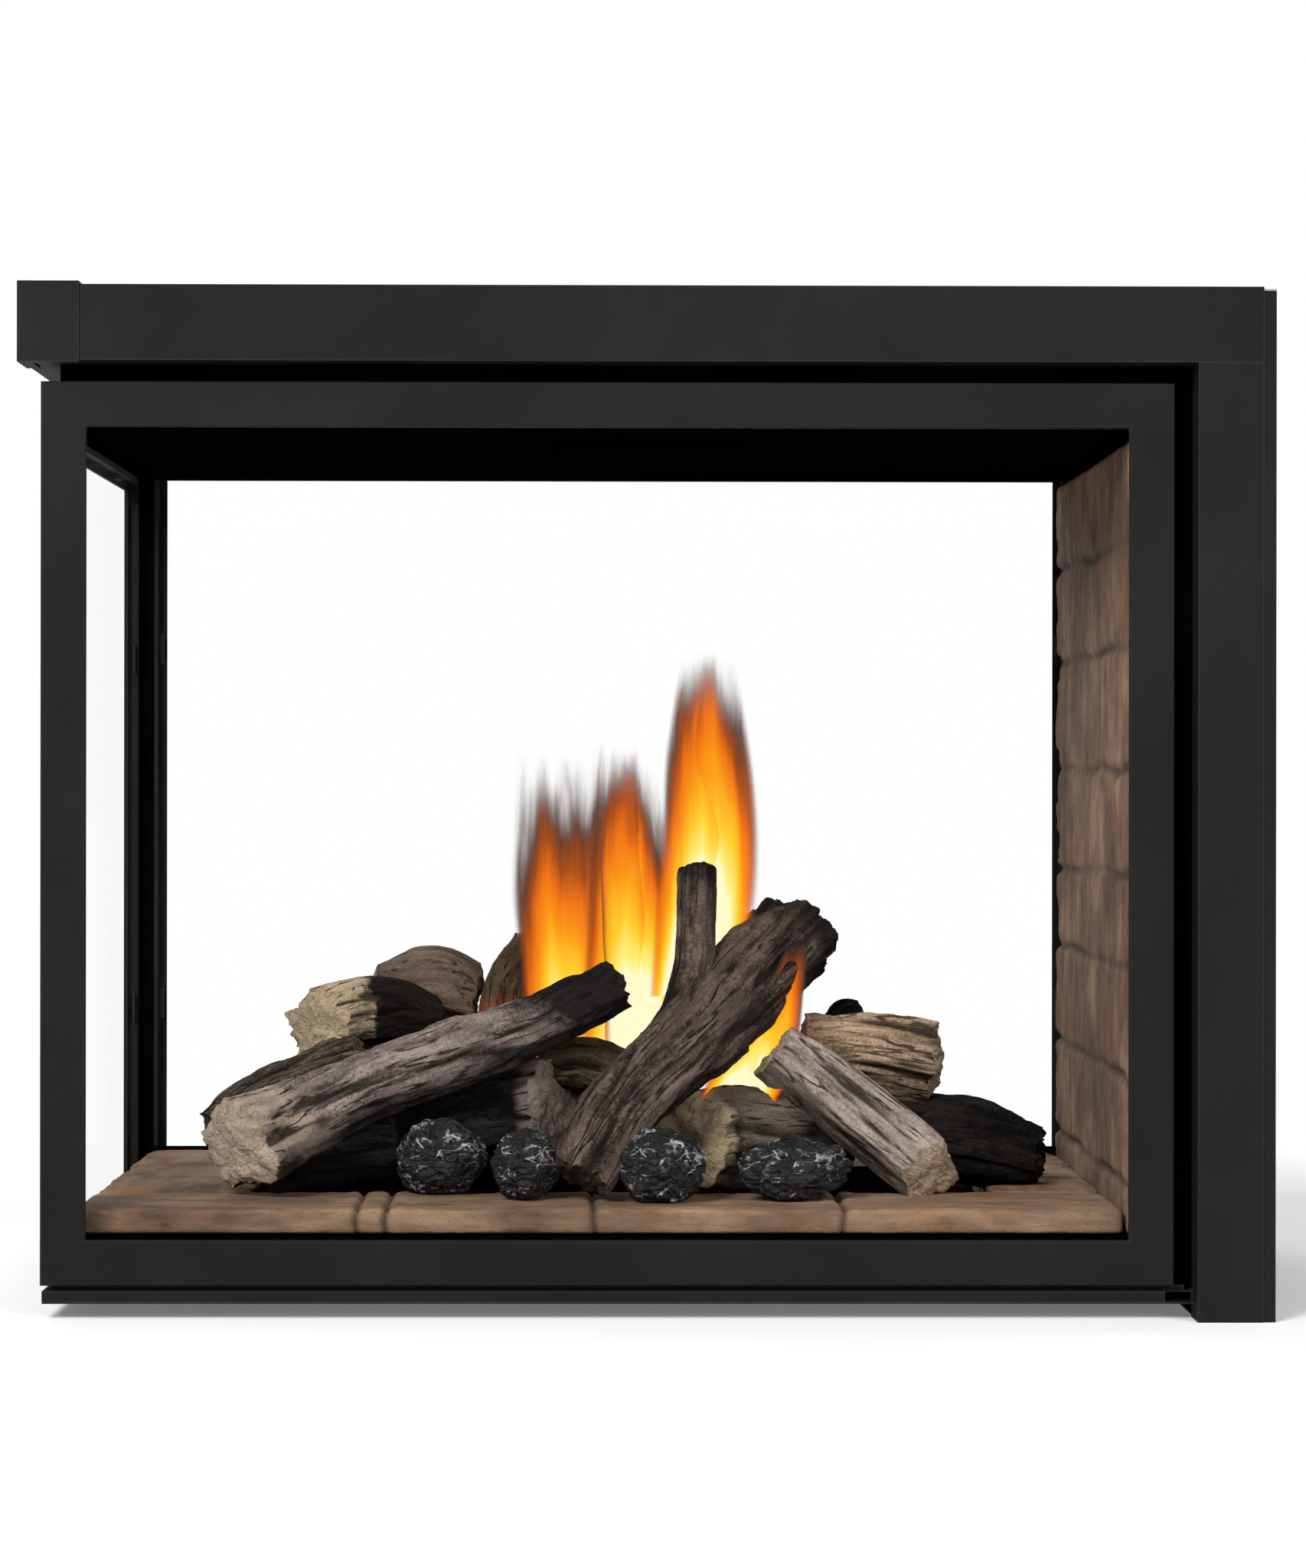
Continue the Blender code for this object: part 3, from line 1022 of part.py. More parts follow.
RINGS_PER_SPAN = 3


def bed_place(shares):
    across, back, up = shares[:3]
    return Vector((BED_LEFT + across * BED_WIDTH, BED_FRONT + back * BED_DEPTH,
                   HEARTH_TOP + up * LOG_SET_HEIGHT))


def smooth_run(values, share):
    """A Catmull-Rom reading of a list of vectors or numbers, at a share of its length."""
    place = share * (len(values) - 1)
    i = min(int(place), len(values) - 2)
    t = place - i
    before = values[max(i - 1, 0)]
    start, end = values[i], values[i + 1]
    after = values[min(i + 2, len(values) - 1)]
    return (start * 2 + (end - before) * t + (before * 2 - start * 5 + end * 4 - after) * t ** 2
            + (start * 3 - before - end * 3 + after) * t ** 3) / 2


def log_form(name, shares, seed, finish, grown=0.0):
    """A log of cast ceramic: a ridged, uneven bark along a bent middle line, with broken ends."""
    spine = [bed_place(entry) for entry in shares]
    girths = [entry[3] * LOG_GIRTH for entry in shares]
    count = RINGS_PER_SPAN * (len(shares) - 1) + 1
    form = bmesh.new()
    rings = []
    places = [smooth_run(spine, i / (count - 1)) for i in range(count)]
    side = None
    for i, middle in enumerate(places):
        ahead = (places[min(i + 1, count - 1)] - places[max(i - 1, 0)]).normalized()
        if side is None:
            side = ahead.cross(Vector((0, 0, 1))).normalized()
        side = (side - ahead * side.dot(ahead)).normalized()
        up = side.cross(ahead)
        girth = smooth_run(girths, i / (count - 1))
        if i == 0:
            middle = middle - ahead * grown
        if i == count - 1:
            middle = middle + ahead * grown
        ring = []
        for k in range(LOG_SIDES):
            angle = 2 * math.pi * k / LOG_SIDES
            ridges = (RIDGE_SHARES[0] * math.sin(2 * angle + seed + i * 0.5)
                      + RIDGE_SHARES[1] * math.sin(3 * angle + 2 * seed - i * 0.9)
                      + RIDGE_SHARES[2] * math.sin(5 * angle + 3 * seed + i * 1.7))
            reach = girth * (1 + ridges) + grown
            slant = girth * 0.25 * math.sin(angle + seed) if i in (0, count - 1) else 0.0
            ring.append(form.verts.new(middle + (side * math.cos(angle) + up * math.sin(angle)) * reach
                                       + ahead * slant))
        rings.append(ring)
    for first, second in zip(rings, rings[1:]):
        for k in range(LOG_SIDES):
            form.faces.new((first[k], first[k - 1], second[k - 1]))
            form.faces.new((first[k], second[k - 1], second[k]))
    for ring, middle in ((rings[0], places[0]), (rings[-1], places[-1])):
        outward = (sum((vert.co for vert in ring), Vector()) / LOG_SIDES - middle)
        tip = form.verts.new(middle + outward)
        for k in range(LOG_SIDES):
            form.faces.new((ring[k], ring[k - 1], tip))
    return piece(name, form, finish, 50)


def lump_form(name, entry, seed, finish, grown=0.0):
    """A lump of charcoal: a ball pushed in and out by crossed waves."""
    middle = bed_place(entry)
    form = bmesh.new()
    bmesh.ops.create_icosphere(form, subdivisions=3, radius=1.0)
    for vert in form.verts:
        x, y, z = vert.co
        waves = (LUMP_ROUGH_SHARES[0] * math.sin(3 * x + 2 * y + seed)
                 + LUMP_ROUGH_SHARES[1] * math.sin(5 * z - 3 * x + seed)
                 + LUMP_ROUGH_SHARES[2] * math.sin(8 * y + 7 * z + 2 * seed))
        reach = entry[3] * LUMP_GIRTH * (1 + waves) + grown
        vert.co = middle + vert.co * reach
    return piece(name, form, finish, 50)


def corners(obj):
    places = [vert.co for vert in obj.data.vertices]
    return [[pick(place[i] for place in places) for i in range(3)] for pick in (min, max)]


def meets(first, second):
    (low_a, high_a), (low_b, high_b) = corners(first), corners(second)
    return all(low_a[i] < high_b[i] and low_b[i] < high_a[i] for i in range(3))


def trimmed(obj):
    """Keeps the largest body of a log that its neighbours have cut, and drops the chips."""
    form = bmesh.new()
    form.from_mesh(obj.data)
    bmesh.ops.remove_doubles(form, verts=form.verts, dist=SEAT / 30)
    left = set(form.faces)
    bodies = []
    while left:
        body = {left.pop()}
        edge_of_search = list(body)
        while edge_of_search:
            for edge in edge_of_search.pop().edges:
                for face in edge.link_faces:
                    if face in left:
                        left.discard(face)
                        body.add(face)
                        edge_of_search.append(face)
        bodies.append(body)
    largest = max(bodies, key=lambda body: sum(face.calc_area() for face in body))
    chips = [face for body in bodies if body is not largest for face in body]
    bmesh.ops.delete(form, geom=chips, context="FACES")
    bmesh.ops.delete(form, geom=[vert for vert in form.verts if not vert.link_faces], context="VERTS")
    form.to_mesh(obj.data)
    form.free()
    return obj


def log_set():
    """Every log, cut flat where it stands and notched where the logs before it lie in it."""
    bench = [((BED_LEFT - OVERRUN, BED_FRONT - OVERRUN, FLOOR_TOP),
              (BED_LEFT + BED_WIDTH, BED_REAR, HEARTH_TOP + SEAT))]
    set_down = []
    orders = [("log", name) for name in LOG_SHARES]
    orders[3:3] = [("lump", name) for name in LUMP_SHARES]
    for number, (kind, name) in enumerate(orders):
        seed = 1.7 * number + 0.4
        if kind == "lump":
            recipes = [(lump_form, LUMP_SHARES[name], "charred bark")]
        else:
            recipes = [(log_form, LOG_SHARES[name], LOG_FINISHES[name])]
        if name == "log_fork":
            recipes.append((log_form, BRANCH_SHARES, LOG_FINISHES[name]))
        if name == "log_back_right":
            recipes.append((log_form, KNOB_SHARES, LOG_FINISHES[name]))
        parts = [make(name, shares, seed, finish) for make, shares, finish in recipes]
        body = fused(parts[0], *parts[1:])
        body.name = name
        for low, high in bench:
            cut(body, block("bench", low, high, "bark"))
        for make, shares, tool_seed, finish in set_down:
            tool = make("tool", shares, tool_seed, finish, SEAT)
            if meets(body, tool):
                cut(body, tool)
            else:
                bpy.data.objects.remove(tool, do_unlink=True)
        trimmed(body)
        set_down += [(make, shares, seed, finish) for make, shares, finish in recipes]


# The whole fireplace
def fireplace():
    header_long("header_front", -1)
    header_long("header_rear", 1)
    header_end()
    corner_cover("corner_cover_front", -1)
    corner_cover("corner_cover_rear", 1)
    post("post_front", -1)
    post("post_rear", 1)
    side_panel()
    access_cover()
    top_plate()
    base_pan()
    door_sill()
    firebox_floor()
    firebox_top()
    firebox_frame()
    exhaust_baffle()
    firebox_wall()
    brick_panel()
    inner_right = BRICK_FACE - SEAT
    side_front = BED_FRONT + HEARTH_FRONT_DEPTH + SEAT
    hearth("hearth_front", BED_LEFT, inner_right, BED_FRONT, side_front - SEAT, "X", FRONT_JOINT_SHARES)
    hearth("hearth_left", BED_LEFT, BED_LEFT + HEARTH_LEFT_WIDTH, side_front, BED_REAR, "Y", SIDE_JOINT_SHARES)
    hearth("hearth_right", inner_right - HEARTH_RIGHT_WIDTH, inner_right, side_front, BED_REAR, "Y",
           SIDE_JOINT_SHARES)
    hearth("hearth_rear", BED_LEFT + HEARTH_LEFT_WIDTH + SEAT, inner_right - HEARTH_RIGHT_WIDTH - SEAT,
           BED_REAR - HEARTH_REAR_DEPTH, BED_REAR, "X", REAR_JOINT_SHARES)
    doors()
    collar("intake_collar", INTAKE_RADIUS, TOP_PLATE_TOP + SEAT, CASE_HEIGHT + COLLAR_RISE)
    collar("exhaust_collar", EXHAUST_RADIUS, CEILING_TOP + SEAT, CASE_HEIGHT + EXHAUST_RISE)
    relief_flap("relief_flap_left", -FLAP_SPREAD / 2)
    relief_flap("relief_flap_right", FLAP_SPREAD / 2)
    burner_pan()
    venturi_tube()
    air_shutter()
    manifold_pipe()
    pilot_tube()
    gas_valve()
    valve_knob("knob_pilot", -KNOB_SPACING / 2)
    valve_knob("knob_flame", KNOB_SPACING / 2)
    shutoff_valve()
    shutoff_lever()
    inlet_pipe()
    pilot_burner()
    log_set()


fireplace()
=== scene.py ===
import math

import bmesh
import bpy
import numpy as np
from mathutils import Matrix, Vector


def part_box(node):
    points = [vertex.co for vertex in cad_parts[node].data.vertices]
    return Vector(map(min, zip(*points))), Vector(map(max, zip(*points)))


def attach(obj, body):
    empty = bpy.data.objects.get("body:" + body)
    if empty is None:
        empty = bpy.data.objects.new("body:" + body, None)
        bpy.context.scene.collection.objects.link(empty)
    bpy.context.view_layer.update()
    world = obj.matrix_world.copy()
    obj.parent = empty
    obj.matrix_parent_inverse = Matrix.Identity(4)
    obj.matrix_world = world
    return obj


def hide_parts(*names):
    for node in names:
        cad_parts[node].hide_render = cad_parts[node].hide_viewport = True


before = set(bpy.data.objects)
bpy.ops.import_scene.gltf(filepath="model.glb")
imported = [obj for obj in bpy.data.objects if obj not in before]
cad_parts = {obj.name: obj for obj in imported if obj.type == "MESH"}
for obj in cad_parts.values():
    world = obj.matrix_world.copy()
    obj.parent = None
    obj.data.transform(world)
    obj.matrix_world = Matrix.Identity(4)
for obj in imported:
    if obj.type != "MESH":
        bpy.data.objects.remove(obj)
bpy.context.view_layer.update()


# The room around it
# A pale floor runs into a white room, lit by two large soft lamps in front and one behind. A level
# camera stands three and a half metres away, a little to the left of the middle.
class Reading:
    """A socket of a material, so that shader sums are written as sums."""

    def __init__(self, tree, socket):
        self.tree = tree
        self.socket = socket

    def worked(self, operation, *values):
        node = self.tree.nodes.new("ShaderNodeMath")
        node.operation = operation
        for slot, value in zip(node.inputs, values):
            if isinstance(value, Reading):
                self.tree.links.new(value.socket, slot)
            else:
                slot.default_value = value
        return Reading(self.tree, node.outputs[0])

    def __add__(self, other):
        return self.worked("ADD", self, other)

    def __radd__(self, other):
        return self.worked("ADD", other, self)

    def __sub__(self, other):
        return self.worked("SUBTRACT", self, other)

    def __rsub__(self, other):
        return self.worked("SUBTRACT", other, self)

    def __mul__(self, other):
        return self.worked("MULTIPLY", self, other)

    def __rmul__(self, other):
        return self.worked("MULTIPLY", other, self)

    def __pow__(self, other):
        return self.worked("POWER", self, other)

    def least(self, other):
        return self.worked("MINIMUM", self, other)

    def most(self, other):
        return self.worked("MAXIMUM", self, other)

    def size(self):
        return self.worked("ABSOLUTE", self)

    def step(self, low, high):
        """0 at low, 1 at high and a smooth climb between them; it falls where low is above high."""
        node = self.tree.nodes.new("ShaderNodeMapRange")
        node.interpolation_type = "SMOOTHSTEP"
        self.tree.links.new(self.socket, node.inputs["Value"])
        node.inputs["From Min"].default_value = low
        node.inputs["From Max"].default_value = high
        return Reading(self.tree, node.outputs[0])


class Finish:
    """One material, with the nodes that make it."""

    def __init__(self, name):
        self.material = bpy.data.materials.new(name)
        self.material.use_nodes = True
        self.tree = self.material.node_tree
        self.tree.nodes.clear()
        self.out = self.tree.nodes.new("ShaderNodeOutputMaterial")

    def node(self, kind, settings=None, output=0, **values):
        """Adds a node: settings first, then each socket's value or link, and gives one output. A
        socket is called by its name, or by an underscore and its number."""
        node = self.tree.nodes.new("ShaderNode" + kind)
        for key, value in (settings or {}).items():
            if key == "stops":
                while len(node.color_ramp.elements) < len(value):
                    node.color_ramp.elements.new(0.5)
                for element, (place, colour) in zip(node.color_ramp.elements, value):
                    element.position = place
                    element.color = (*colour, 1.0)
            else:
                setattr(node, key, value)
        for key, value in values.items():
            slot = node.inputs[int(key[1:])] if key[1:].isdigit() else node.inputs[key.replace("_", " ")]
            if isinstance(value, Reading):
                self.tree.links.new(value.socket, slot)
            elif isinstance(value, tuple) and len(slot.default_value) == 4:
                slot.default_value = (*value, 1.0)
            else:
                slot.default_value = value
        return Reading(self.tree, node.outputs[output])

    def place(self, stretch=(1.0, 1.0, 1.0), here=None):
        """Object coordinates, or here, multiplied by stretch."""
        if here is None:
            here = self.node("TexCoord", output="Object")
        return self.node("Mapping", {"vector_type": "POINT"}, Vector=here, Scale=stretch)

    def mark(self, name, output=2):
        """What a mesh keeps under a name: a number, or with output 1 a vector."""
        return self.node("Attribute", {"attribute_name": name}, output=output)

    def noise(self, place, scale, detail=3.0, roughness=0.5):
        return self.node("TexNoise", Vector=place, Scale=scale, Detail=detail, Roughness=roughness)

    def ramp(self, value, stops):
        return self.node("ValToRGB", {"stops": stops}, Fac=value)

    def mix(self, factor, first, second, blend="MIX"):
        """Blends two colours, which are sockets 6 and 7 of the Mix node."""
        settings = {"data_type": "RGBA", "blend_type": blend}
        return self.node("Mix", settings, output=2, _0=factor, _6=first, _7=second)

    def bump(self, height, depth, strength=1.0):
        return self.node("Bump", Height=height, Distance=depth, Strength=strength)

    def surface(self, **values):
        shader = self.node("BsdfPrincipled", **values)
        self.tree.links.new(shader.socket, self.out.inputs["Surface"])
        return self.material


def put_in(name, data):
    """An object of the scene, at the origin."""
    made = bpy.data.objects.new(name, data)
    bpy.context.scene.collection.objects.link(made)
    return made


def shown_to(tree, rays):
    """1 for a ray of one of the named kinds, else 0."""
    path = tree.nodes.new("ShaderNodeLightPath")
    shown = Reading(tree, path.outputs[rays[0]])
    for ray in rays[1:]:
        shown = shown.most(Reading(tree, path.outputs[ray]))
    return shown


def room_floor():
    """A disc of floor, far wider than the camera's view, that fades to white away from the fireplace."""
    radius, sides = 40, 96
    fade_start, fade_end = 0.95, 1.5
    ways = np.linspace(0, 2 * math.pi, sides, endpoint=False)
    rim = np.stack([radius * np.cos(ways), radius * np.sin(ways), np.zeros(sides)], axis=1)
    mesh = bpy.data.meshes.new("room_floor")
    mesh.from_pydata(rim.tolist(), [], [list(range(sides))])
    floor = put_in("room_floor", mesh)
    paint = Finish("pale floor")
    shown = shown_to(paint.tree, ("Is Camera Ray", "Is Glossy Ray", "Is Transmission Ray"))
    matt = paint.node("BsdfDiffuse", Color=(0.88, 0.88, 0.88))
    lift = paint.node("Emission", Color=(1.0, 1.0, 1.0), Strength=shown * 0.16)
    lifted = paint.node("AddShader", _0=matt, _1=lift)
    white = paint.node("Emission", Color=(1.0, 1.0, 1.0), Strength=1.0)
    away = paint.node("VectorMath", {"operation": "LENGTH"}, output=1, Vector=paint.place())
    total = paint.node("MixShader", Fac=away.step(fade_start, fade_end) * shown, _1=lifted, _2=white)
    paint.tree.links.new(total.socket, paint.out.inputs["Surface"])
    mesh.materials.append(paint.material)


def room_light(name, place, aim, width, power):
    """A round lamp at a place, turned to its aim: its -Z axis leaves along aim - place."""
    lamp = bpy.data.lights.new(name, "AREA")
    lamp.shape = "DISK"
    lamp.size = width
    lamp.energy = power
    ahead = np.subtract(aim, place)
    flat = math.hypot(ahead[0], ahead[1])
    turn = Matrix.Rotation(math.atan2(-ahead[0], ahead[1]), 4, "Z")
    tilt = Matrix.Rotation(math.pi / 2 + math.atan2(ahead[2], flat), 4, "X")
    put_in(name, lamp).matrix_world = Matrix.Translation(place) @ turn @ tilt


def room_world():
    """White to the camera and through glass, and a softer grey as light and in reflections."""
    grey = 0.34
    world = bpy.data.worlds.new("room")
    bpy.context.scene.world = world
    world.use_nodes = True
    tree = world.node_tree
    tree.nodes.clear()
    strength = grey + shown_to(tree, ("Is Camera Ray", "Is Transmission Ray")) * (1 - grey)
    sky = tree.nodes.new("ShaderNodeBackground")
    sky.inputs["Color"].default_value = (1.0, 1.0, 1.0, 1.0)
    tree.links.new(strength.socket, sky.inputs["Strength"])
    out = tree.nodes.new("ShaderNodeOutputWorld")
    tree.links.new(sky.outputs[0], out.inputs["Surface"])


def room_camera(place, focal_length, heading, tilt, roll):
    """A level camera looks along +Y at a tilt of 90 degrees; heading turns it to the left."""
    lens = bpy.data.cameras.new("camera")
    lens.sensor_fit = "AUTO"
    lens.sensor_width = 36.0
    lens.lens = focal_length
    lens.clip_end = 200.0
    holder = put_in("camera", lens)
    turned = Matrix.Rotation(math.radians(heading), 4, "Z")
    tilted = Matrix.Rotation(math.radians(tilt), 4, "X")
    rolled = Matrix.Rotation(math.radians(roll), 4, "Z")
    holder.matrix_world = Matrix.Translation(place) @ turned @ tilted @ rolled
    bpy.context.scene.camera = holder


room_floor()
room_world()
room_light("front left lamp", (-1.8, -3.4, 2.9), aim=(0.0, 0.0, 0.3), width=1.8, power=170)
room_light("front right lamp", (2.4, -3.2, 2.0), aim=(0.0, 0.0, 0.3), width=2.2, power=75)
room_light("rear lamp", (-1.0, 3.4, 2.4), aim=(0.0, 0.0, 0.4), width=2.6, power=60)
room_camera((-0.0238, -3.4747, 0.4731), focal_length=83.04, heading=-0.5, tilt=89.99, roll=0.07)
bpy.context.scene.view_settings.view_transform = "Standard"


# Case of folded sheet
# Header bars, corner covers, posts, side panel, base pan and door frames are mild sheet steel, folded
# and powder coated in a matt charcoal with a fine orange peel and slight rubs, with a painted highlight
# along the folded edges.
def charcoal_coat():
    coat = Finish("charcoal powder coat")
    here = coat.place()
    cloud = coat.noise(here, 5.0, 4.0, 0.6)
    grain = coat.noise(here, 900.0, 2.0, 0.6)
    stops = [(0.3, (0.0085, 0.0085, 0.0085)), (0.7, (0.0155, 0.0155, 0.0155))]
    tint = coat.ramp(cloud * 0.7 + grain * 0.3, stops)
    rubs = coat.noise(here, 38.0, 5.0, 0.7)
    peel = coat.bump(grain, 0.00025, 0.35)
    rounded = coat.node("Bevel", {"samples": 6}, Radius=0.0016)
    straight = coat.node("NewGeometry", output=1)
    agree = coat.node("VectorMath", {"operation": "DOT_PRODUCT"}, output=1, _0=rounded, _1=straight)
    # Painted highlight: a lighter grey where the bevelled normal turns away from the face normal, along
    # folded edges.
    tint = coat.mix(agree.step(0.99, 0.86) * 0.55, tint, (0.055, 0.055, 0.057))
    return coat.surface(Base_Color=tint, Roughness=0.5 + cloud * 0.16 - rubs.step(0.62, 0.8) * 0.12,
                        Specular_IOR_Level=0.05, Normal=peel)


def heat_paint():
    coat = Finish("flat black heat paint")
    here = coat.place()
    cloud = coat.noise(here, 9.0, 4.0, 0.6)
    grain = coat.noise(here, 700.0, 2.0, 0.5)
    tint = coat.ramp(cloud, [(0.3, (0.0006, 0.0006, 0.0006)), (0.7, (0.002, 0.0019, 0.0018))])
    return coat.surface(Base_Color=tint, Roughness=0.86 + cloud * 0.12, Specular_IOR_Level=0.0,
                        Normal=coat.bump(grain, 0.0002, 0.3))


def zinc_coat():
    zinc = Finish("galvanised sheet")
    here = zinc.place()
    spangle = zinc.node("TexVoronoi", {"feature": "F1"}, output=1, Vector=here, Scale=70.0)
    shade = zinc.node("RGBToBW", Color=spangle)
    cloud = zinc.noise(here, 14.0, 4.0, 0.6)
    stops = [(0.25, (0.15, 0.155, 0.163)), (0.75, (0.29, 0.297, 0.305))]
    tint = zinc.ramp(shade * 0.5 + cloud * 0.5, stops)
    return zinc.surface(Base_Color=tint, Metallic=0.8, Roughness=0.44 + shade * 0.16,
                        Normal=zinc.bump(shade, 0.0001, 0.2))


def dress(names, material):
    for name in names:
        for slot in bpy.data.objects[name].material_slots:
            slot.material = material


charcoal = charcoal_coat()
black = heat_paint()
zinc = zinc_coat()
dress(["header_front", "header_rear", "header_left", "corner_cover_front", "corner_cover_rear",
       "post_front", "post_rear", "side_panel_right", "access_cover", "base_pan", "front_door_frame",
       "rear_door_frame", "end_door_frame", "door_sill"], charcoal)
dress(["firebox_floor", "firebox_top", "firebox_wall_right", "firebox_frame", "exhaust_baffle",
       "relief_flap_left", "relief_flap_right", "exhaust_collar"], black)
dress(["top_plate", "intake_collar", "air_shutter"], zinc)


# Door glass
# Three panes of clear ceramic glass, flat and 5 mm thick, are each held in the channel of a frame
# behind its four rails. They are almost unseen from in front and mirror the room at a slant.
def clear_pane():
    pane = Finish("clear ceramic glass")
    haze = pane.noise(pane.place(), 3.0, 2.0, 0.5)
    slant = pane.node("LayerWeight", output=1, Blend=0.5)
    return pane.surface(Base_Color=(0.02, 0.024, 0.022), Roughness=0.02 + haze * 0.02,
                        Specular_IOR_Level=1.0, Alpha=0.0005 + haze * 0.0008 + (slant ** 8.0) * 0.12)


dress(["front_door_glass", "rear_door_glass", "end_door_glass"], clear_pane())


# Gas train
# The valve and the pipes are a bead-blasted alloy, the knobs black thermoset, and the shut-off cock
# and the pilot tube brass. Venturi and pilot are steel that heat has coloured; the burner is black.
def burnt_steel():
    steel = Finish("heat-coloured steel")
    here = steel.place()
    cloud = steel.noise(here, 16.0, 5.0, 0.65)
    grain = steel.noise(steel.place((1.0, 9.0, 9.0)), 120.0, 2.0, 0.5)
    brown, straw, blue = (0.055, 0.045, 0.04), (0.11, 0.085, 0.065), (0.075, 0.08, 0.095)
    tint = steel.ramp(cloud, [(0.3, brown), (0.5, straw), (0.7, blue)])
    return steel.surface(Base_Color=tint, Metallic=0.8, Roughness=0.42 + grain * 0.2,
                         Normal=steel.bump(grain, 0.0001, 0.3))


def brass_rod():
    brass = Finish("machined brass")
    here = brass.place()
    dull = brass.noise(here, 60.0, 4.0, 0.6)
    turned = brass.noise(brass.place((30.0, 1.0, 1.0)), 60.0, 2.0, 0.5)
    tint = brass.ramp(dull, [(0.3, (0.4, 0.26, 0.085)), (0.7, (0.62, 0.43, 0.17))])
    return brass.surface(Base_Color=tint, Metallic=1.0, Roughness=0.26 + dull * 0.2,
                         Normal=brass.bump(turned, 0.00005, 0.3))


def cast_alloy():
    alloy = Finish("bead-blasted casting")
    here = alloy.place()
    grain = alloy.noise(here, 1200.0, 2.0, 0.6)
    cloud = alloy.noise(here, 30.0, 3.0, 0.5)
    tint = alloy.ramp(cloud, [(0.3, (0.36, 0.37, 0.38)), (0.7, (0.48, 0.49, 0.5))])
    return alloy.surface(Base_Color=tint, Metallic=0.9, Roughness=0.44 + cloud * 0.12,
                         Normal=alloy.bump(grain, 0.0002, 0.5))


def knob_plastic():
    plastic = Finish("black thermoset")
    here = plastic.place()
    grain = plastic.noise(here, 1500.0, 2.0, 0.5)
    cloud = plastic.noise(here, 40.0, 3.0, 0.5)
    tint = plastic.ramp(cloud, [(0.3, (0.014, 0.014, 0.015)), (0.7, (0.024, 0.024, 0.025))])
    return plastic.surface(Base_Color=tint, Roughness=0.42 + cloud * 0.12,
                           Normal=plastic.bump(grain, 0.0001, 0.4))


def lever_vinyl():
    vinyl = Finish("red dipped vinyl")
    here = vinyl.place()
    cloud = vinyl.noise(here, 70.0, 3.0, 0.5)
    tint = vinyl.ramp(cloud, [(0.3, (0.36, 0.018, 0.012)), (0.7, (0.48, 0.03, 0.02))])
    return vinyl.surface(Base_Color=tint, Roughness=0.34 + cloud * 0.1,
                         Normal=vinyl.bump(cloud, 0.0002, 0.3))


dress(["venturi_tube", "pilot_burner"], burnt_steel())
dress(["burner_pan"], black)
dress(["pilot_tube", "shutoff_valve"], brass_rod())
dress(["manifold_pipe", "gas_valve", "gas_inlet_pipe"], cast_alloy())
dress(["knob_pilot", "knob_flame"], knob_plastic())
dress(["shutoff_lever"], lever_vinyl())


# Brick lining
# The closed end carries one moulded refractory panel, 30 mm thick, whose face is cast as courses of
# worn brick with shallow joints. It hangs against the firebox wall between floor and ceiling.
def mottle(places, seed):
    """Value noise from -1 to 1. Each whole-number corner of space has a number, the fraction of a
    scrambled sine of its place, and a point blends its eight corners by 3t^2 - 2t^3 on each axis."""
    scramble, stretch = np.array((127.1, 311.7, 74.7)), 43758.5453
    whole = np.floor(places)
    t = places - whole
    t = t * t * (3 - 2 * t)
    total = np.zeros(places.shape[:-1])
    for corner in np.ndindex(2, 2, 2):
        mixed = np.sin((whole + corner) @ scramble + seed * 13.7) * stretch
        share = np.prod(np.where(np.array(corner) == 1, t, 1 - t), axis=-1)
        total += share * (mixed - np.floor(mixed))
    return total * 2 - 1


def weathered(places, seed, octaves=4, fall=0.5):
    """A sum of value noises, each twice as fine as the last and fall times as deep."""
    total = 0.0
    reach = 1.0
    whole = 0.0
    for octave in range(octaves):
        total = total + reach * mottle(places * 2 ** octave, seed + octave)
        whole += reach
        reach *= fall
    return total / whole


def eased_step(values, low, high):
    """0 below low, 1 above high, 3t^2 - 2t^3 between."""
    t = np.clip((values - low) / (high - low), 0, 1)
    return t * t * (3 - 2 * t)


def near(distance, width):
    """1 at no distance, and exp(-(distance / width)^2) away from it."""
    return np.exp(-(distance / width) ** 2)


def grid_quads(rows, columns, joined):
    """Faces between neighbours of a grid of points, also round from the last column to the first
    where the rows are joined."""
    steps = columns if joined else columns - 1
    row, column = np.meshgrid(np.arange(rows - 1), np.arange(steps), indexing="ij")
    after = (column + 1) % columns
    lower, upper = row * columns, (row + 1) * columns
    return np.stack([lower + column, lower + after, upper + after, upper + column], axis=-1).reshape(-1, 4)


def keep_mark(mesh, name, values):
    """Keeps one number, or a row of three, for each point of a mesh."""
    wide = values.ndim == 2
    kept = mesh.attributes.new(name, "FLOAT_VECTOR" if wide else "FLOAT", "POINT")
    kept.data.foreach_set("vector" if wide else "value", values.ravel().astype(np.float32))


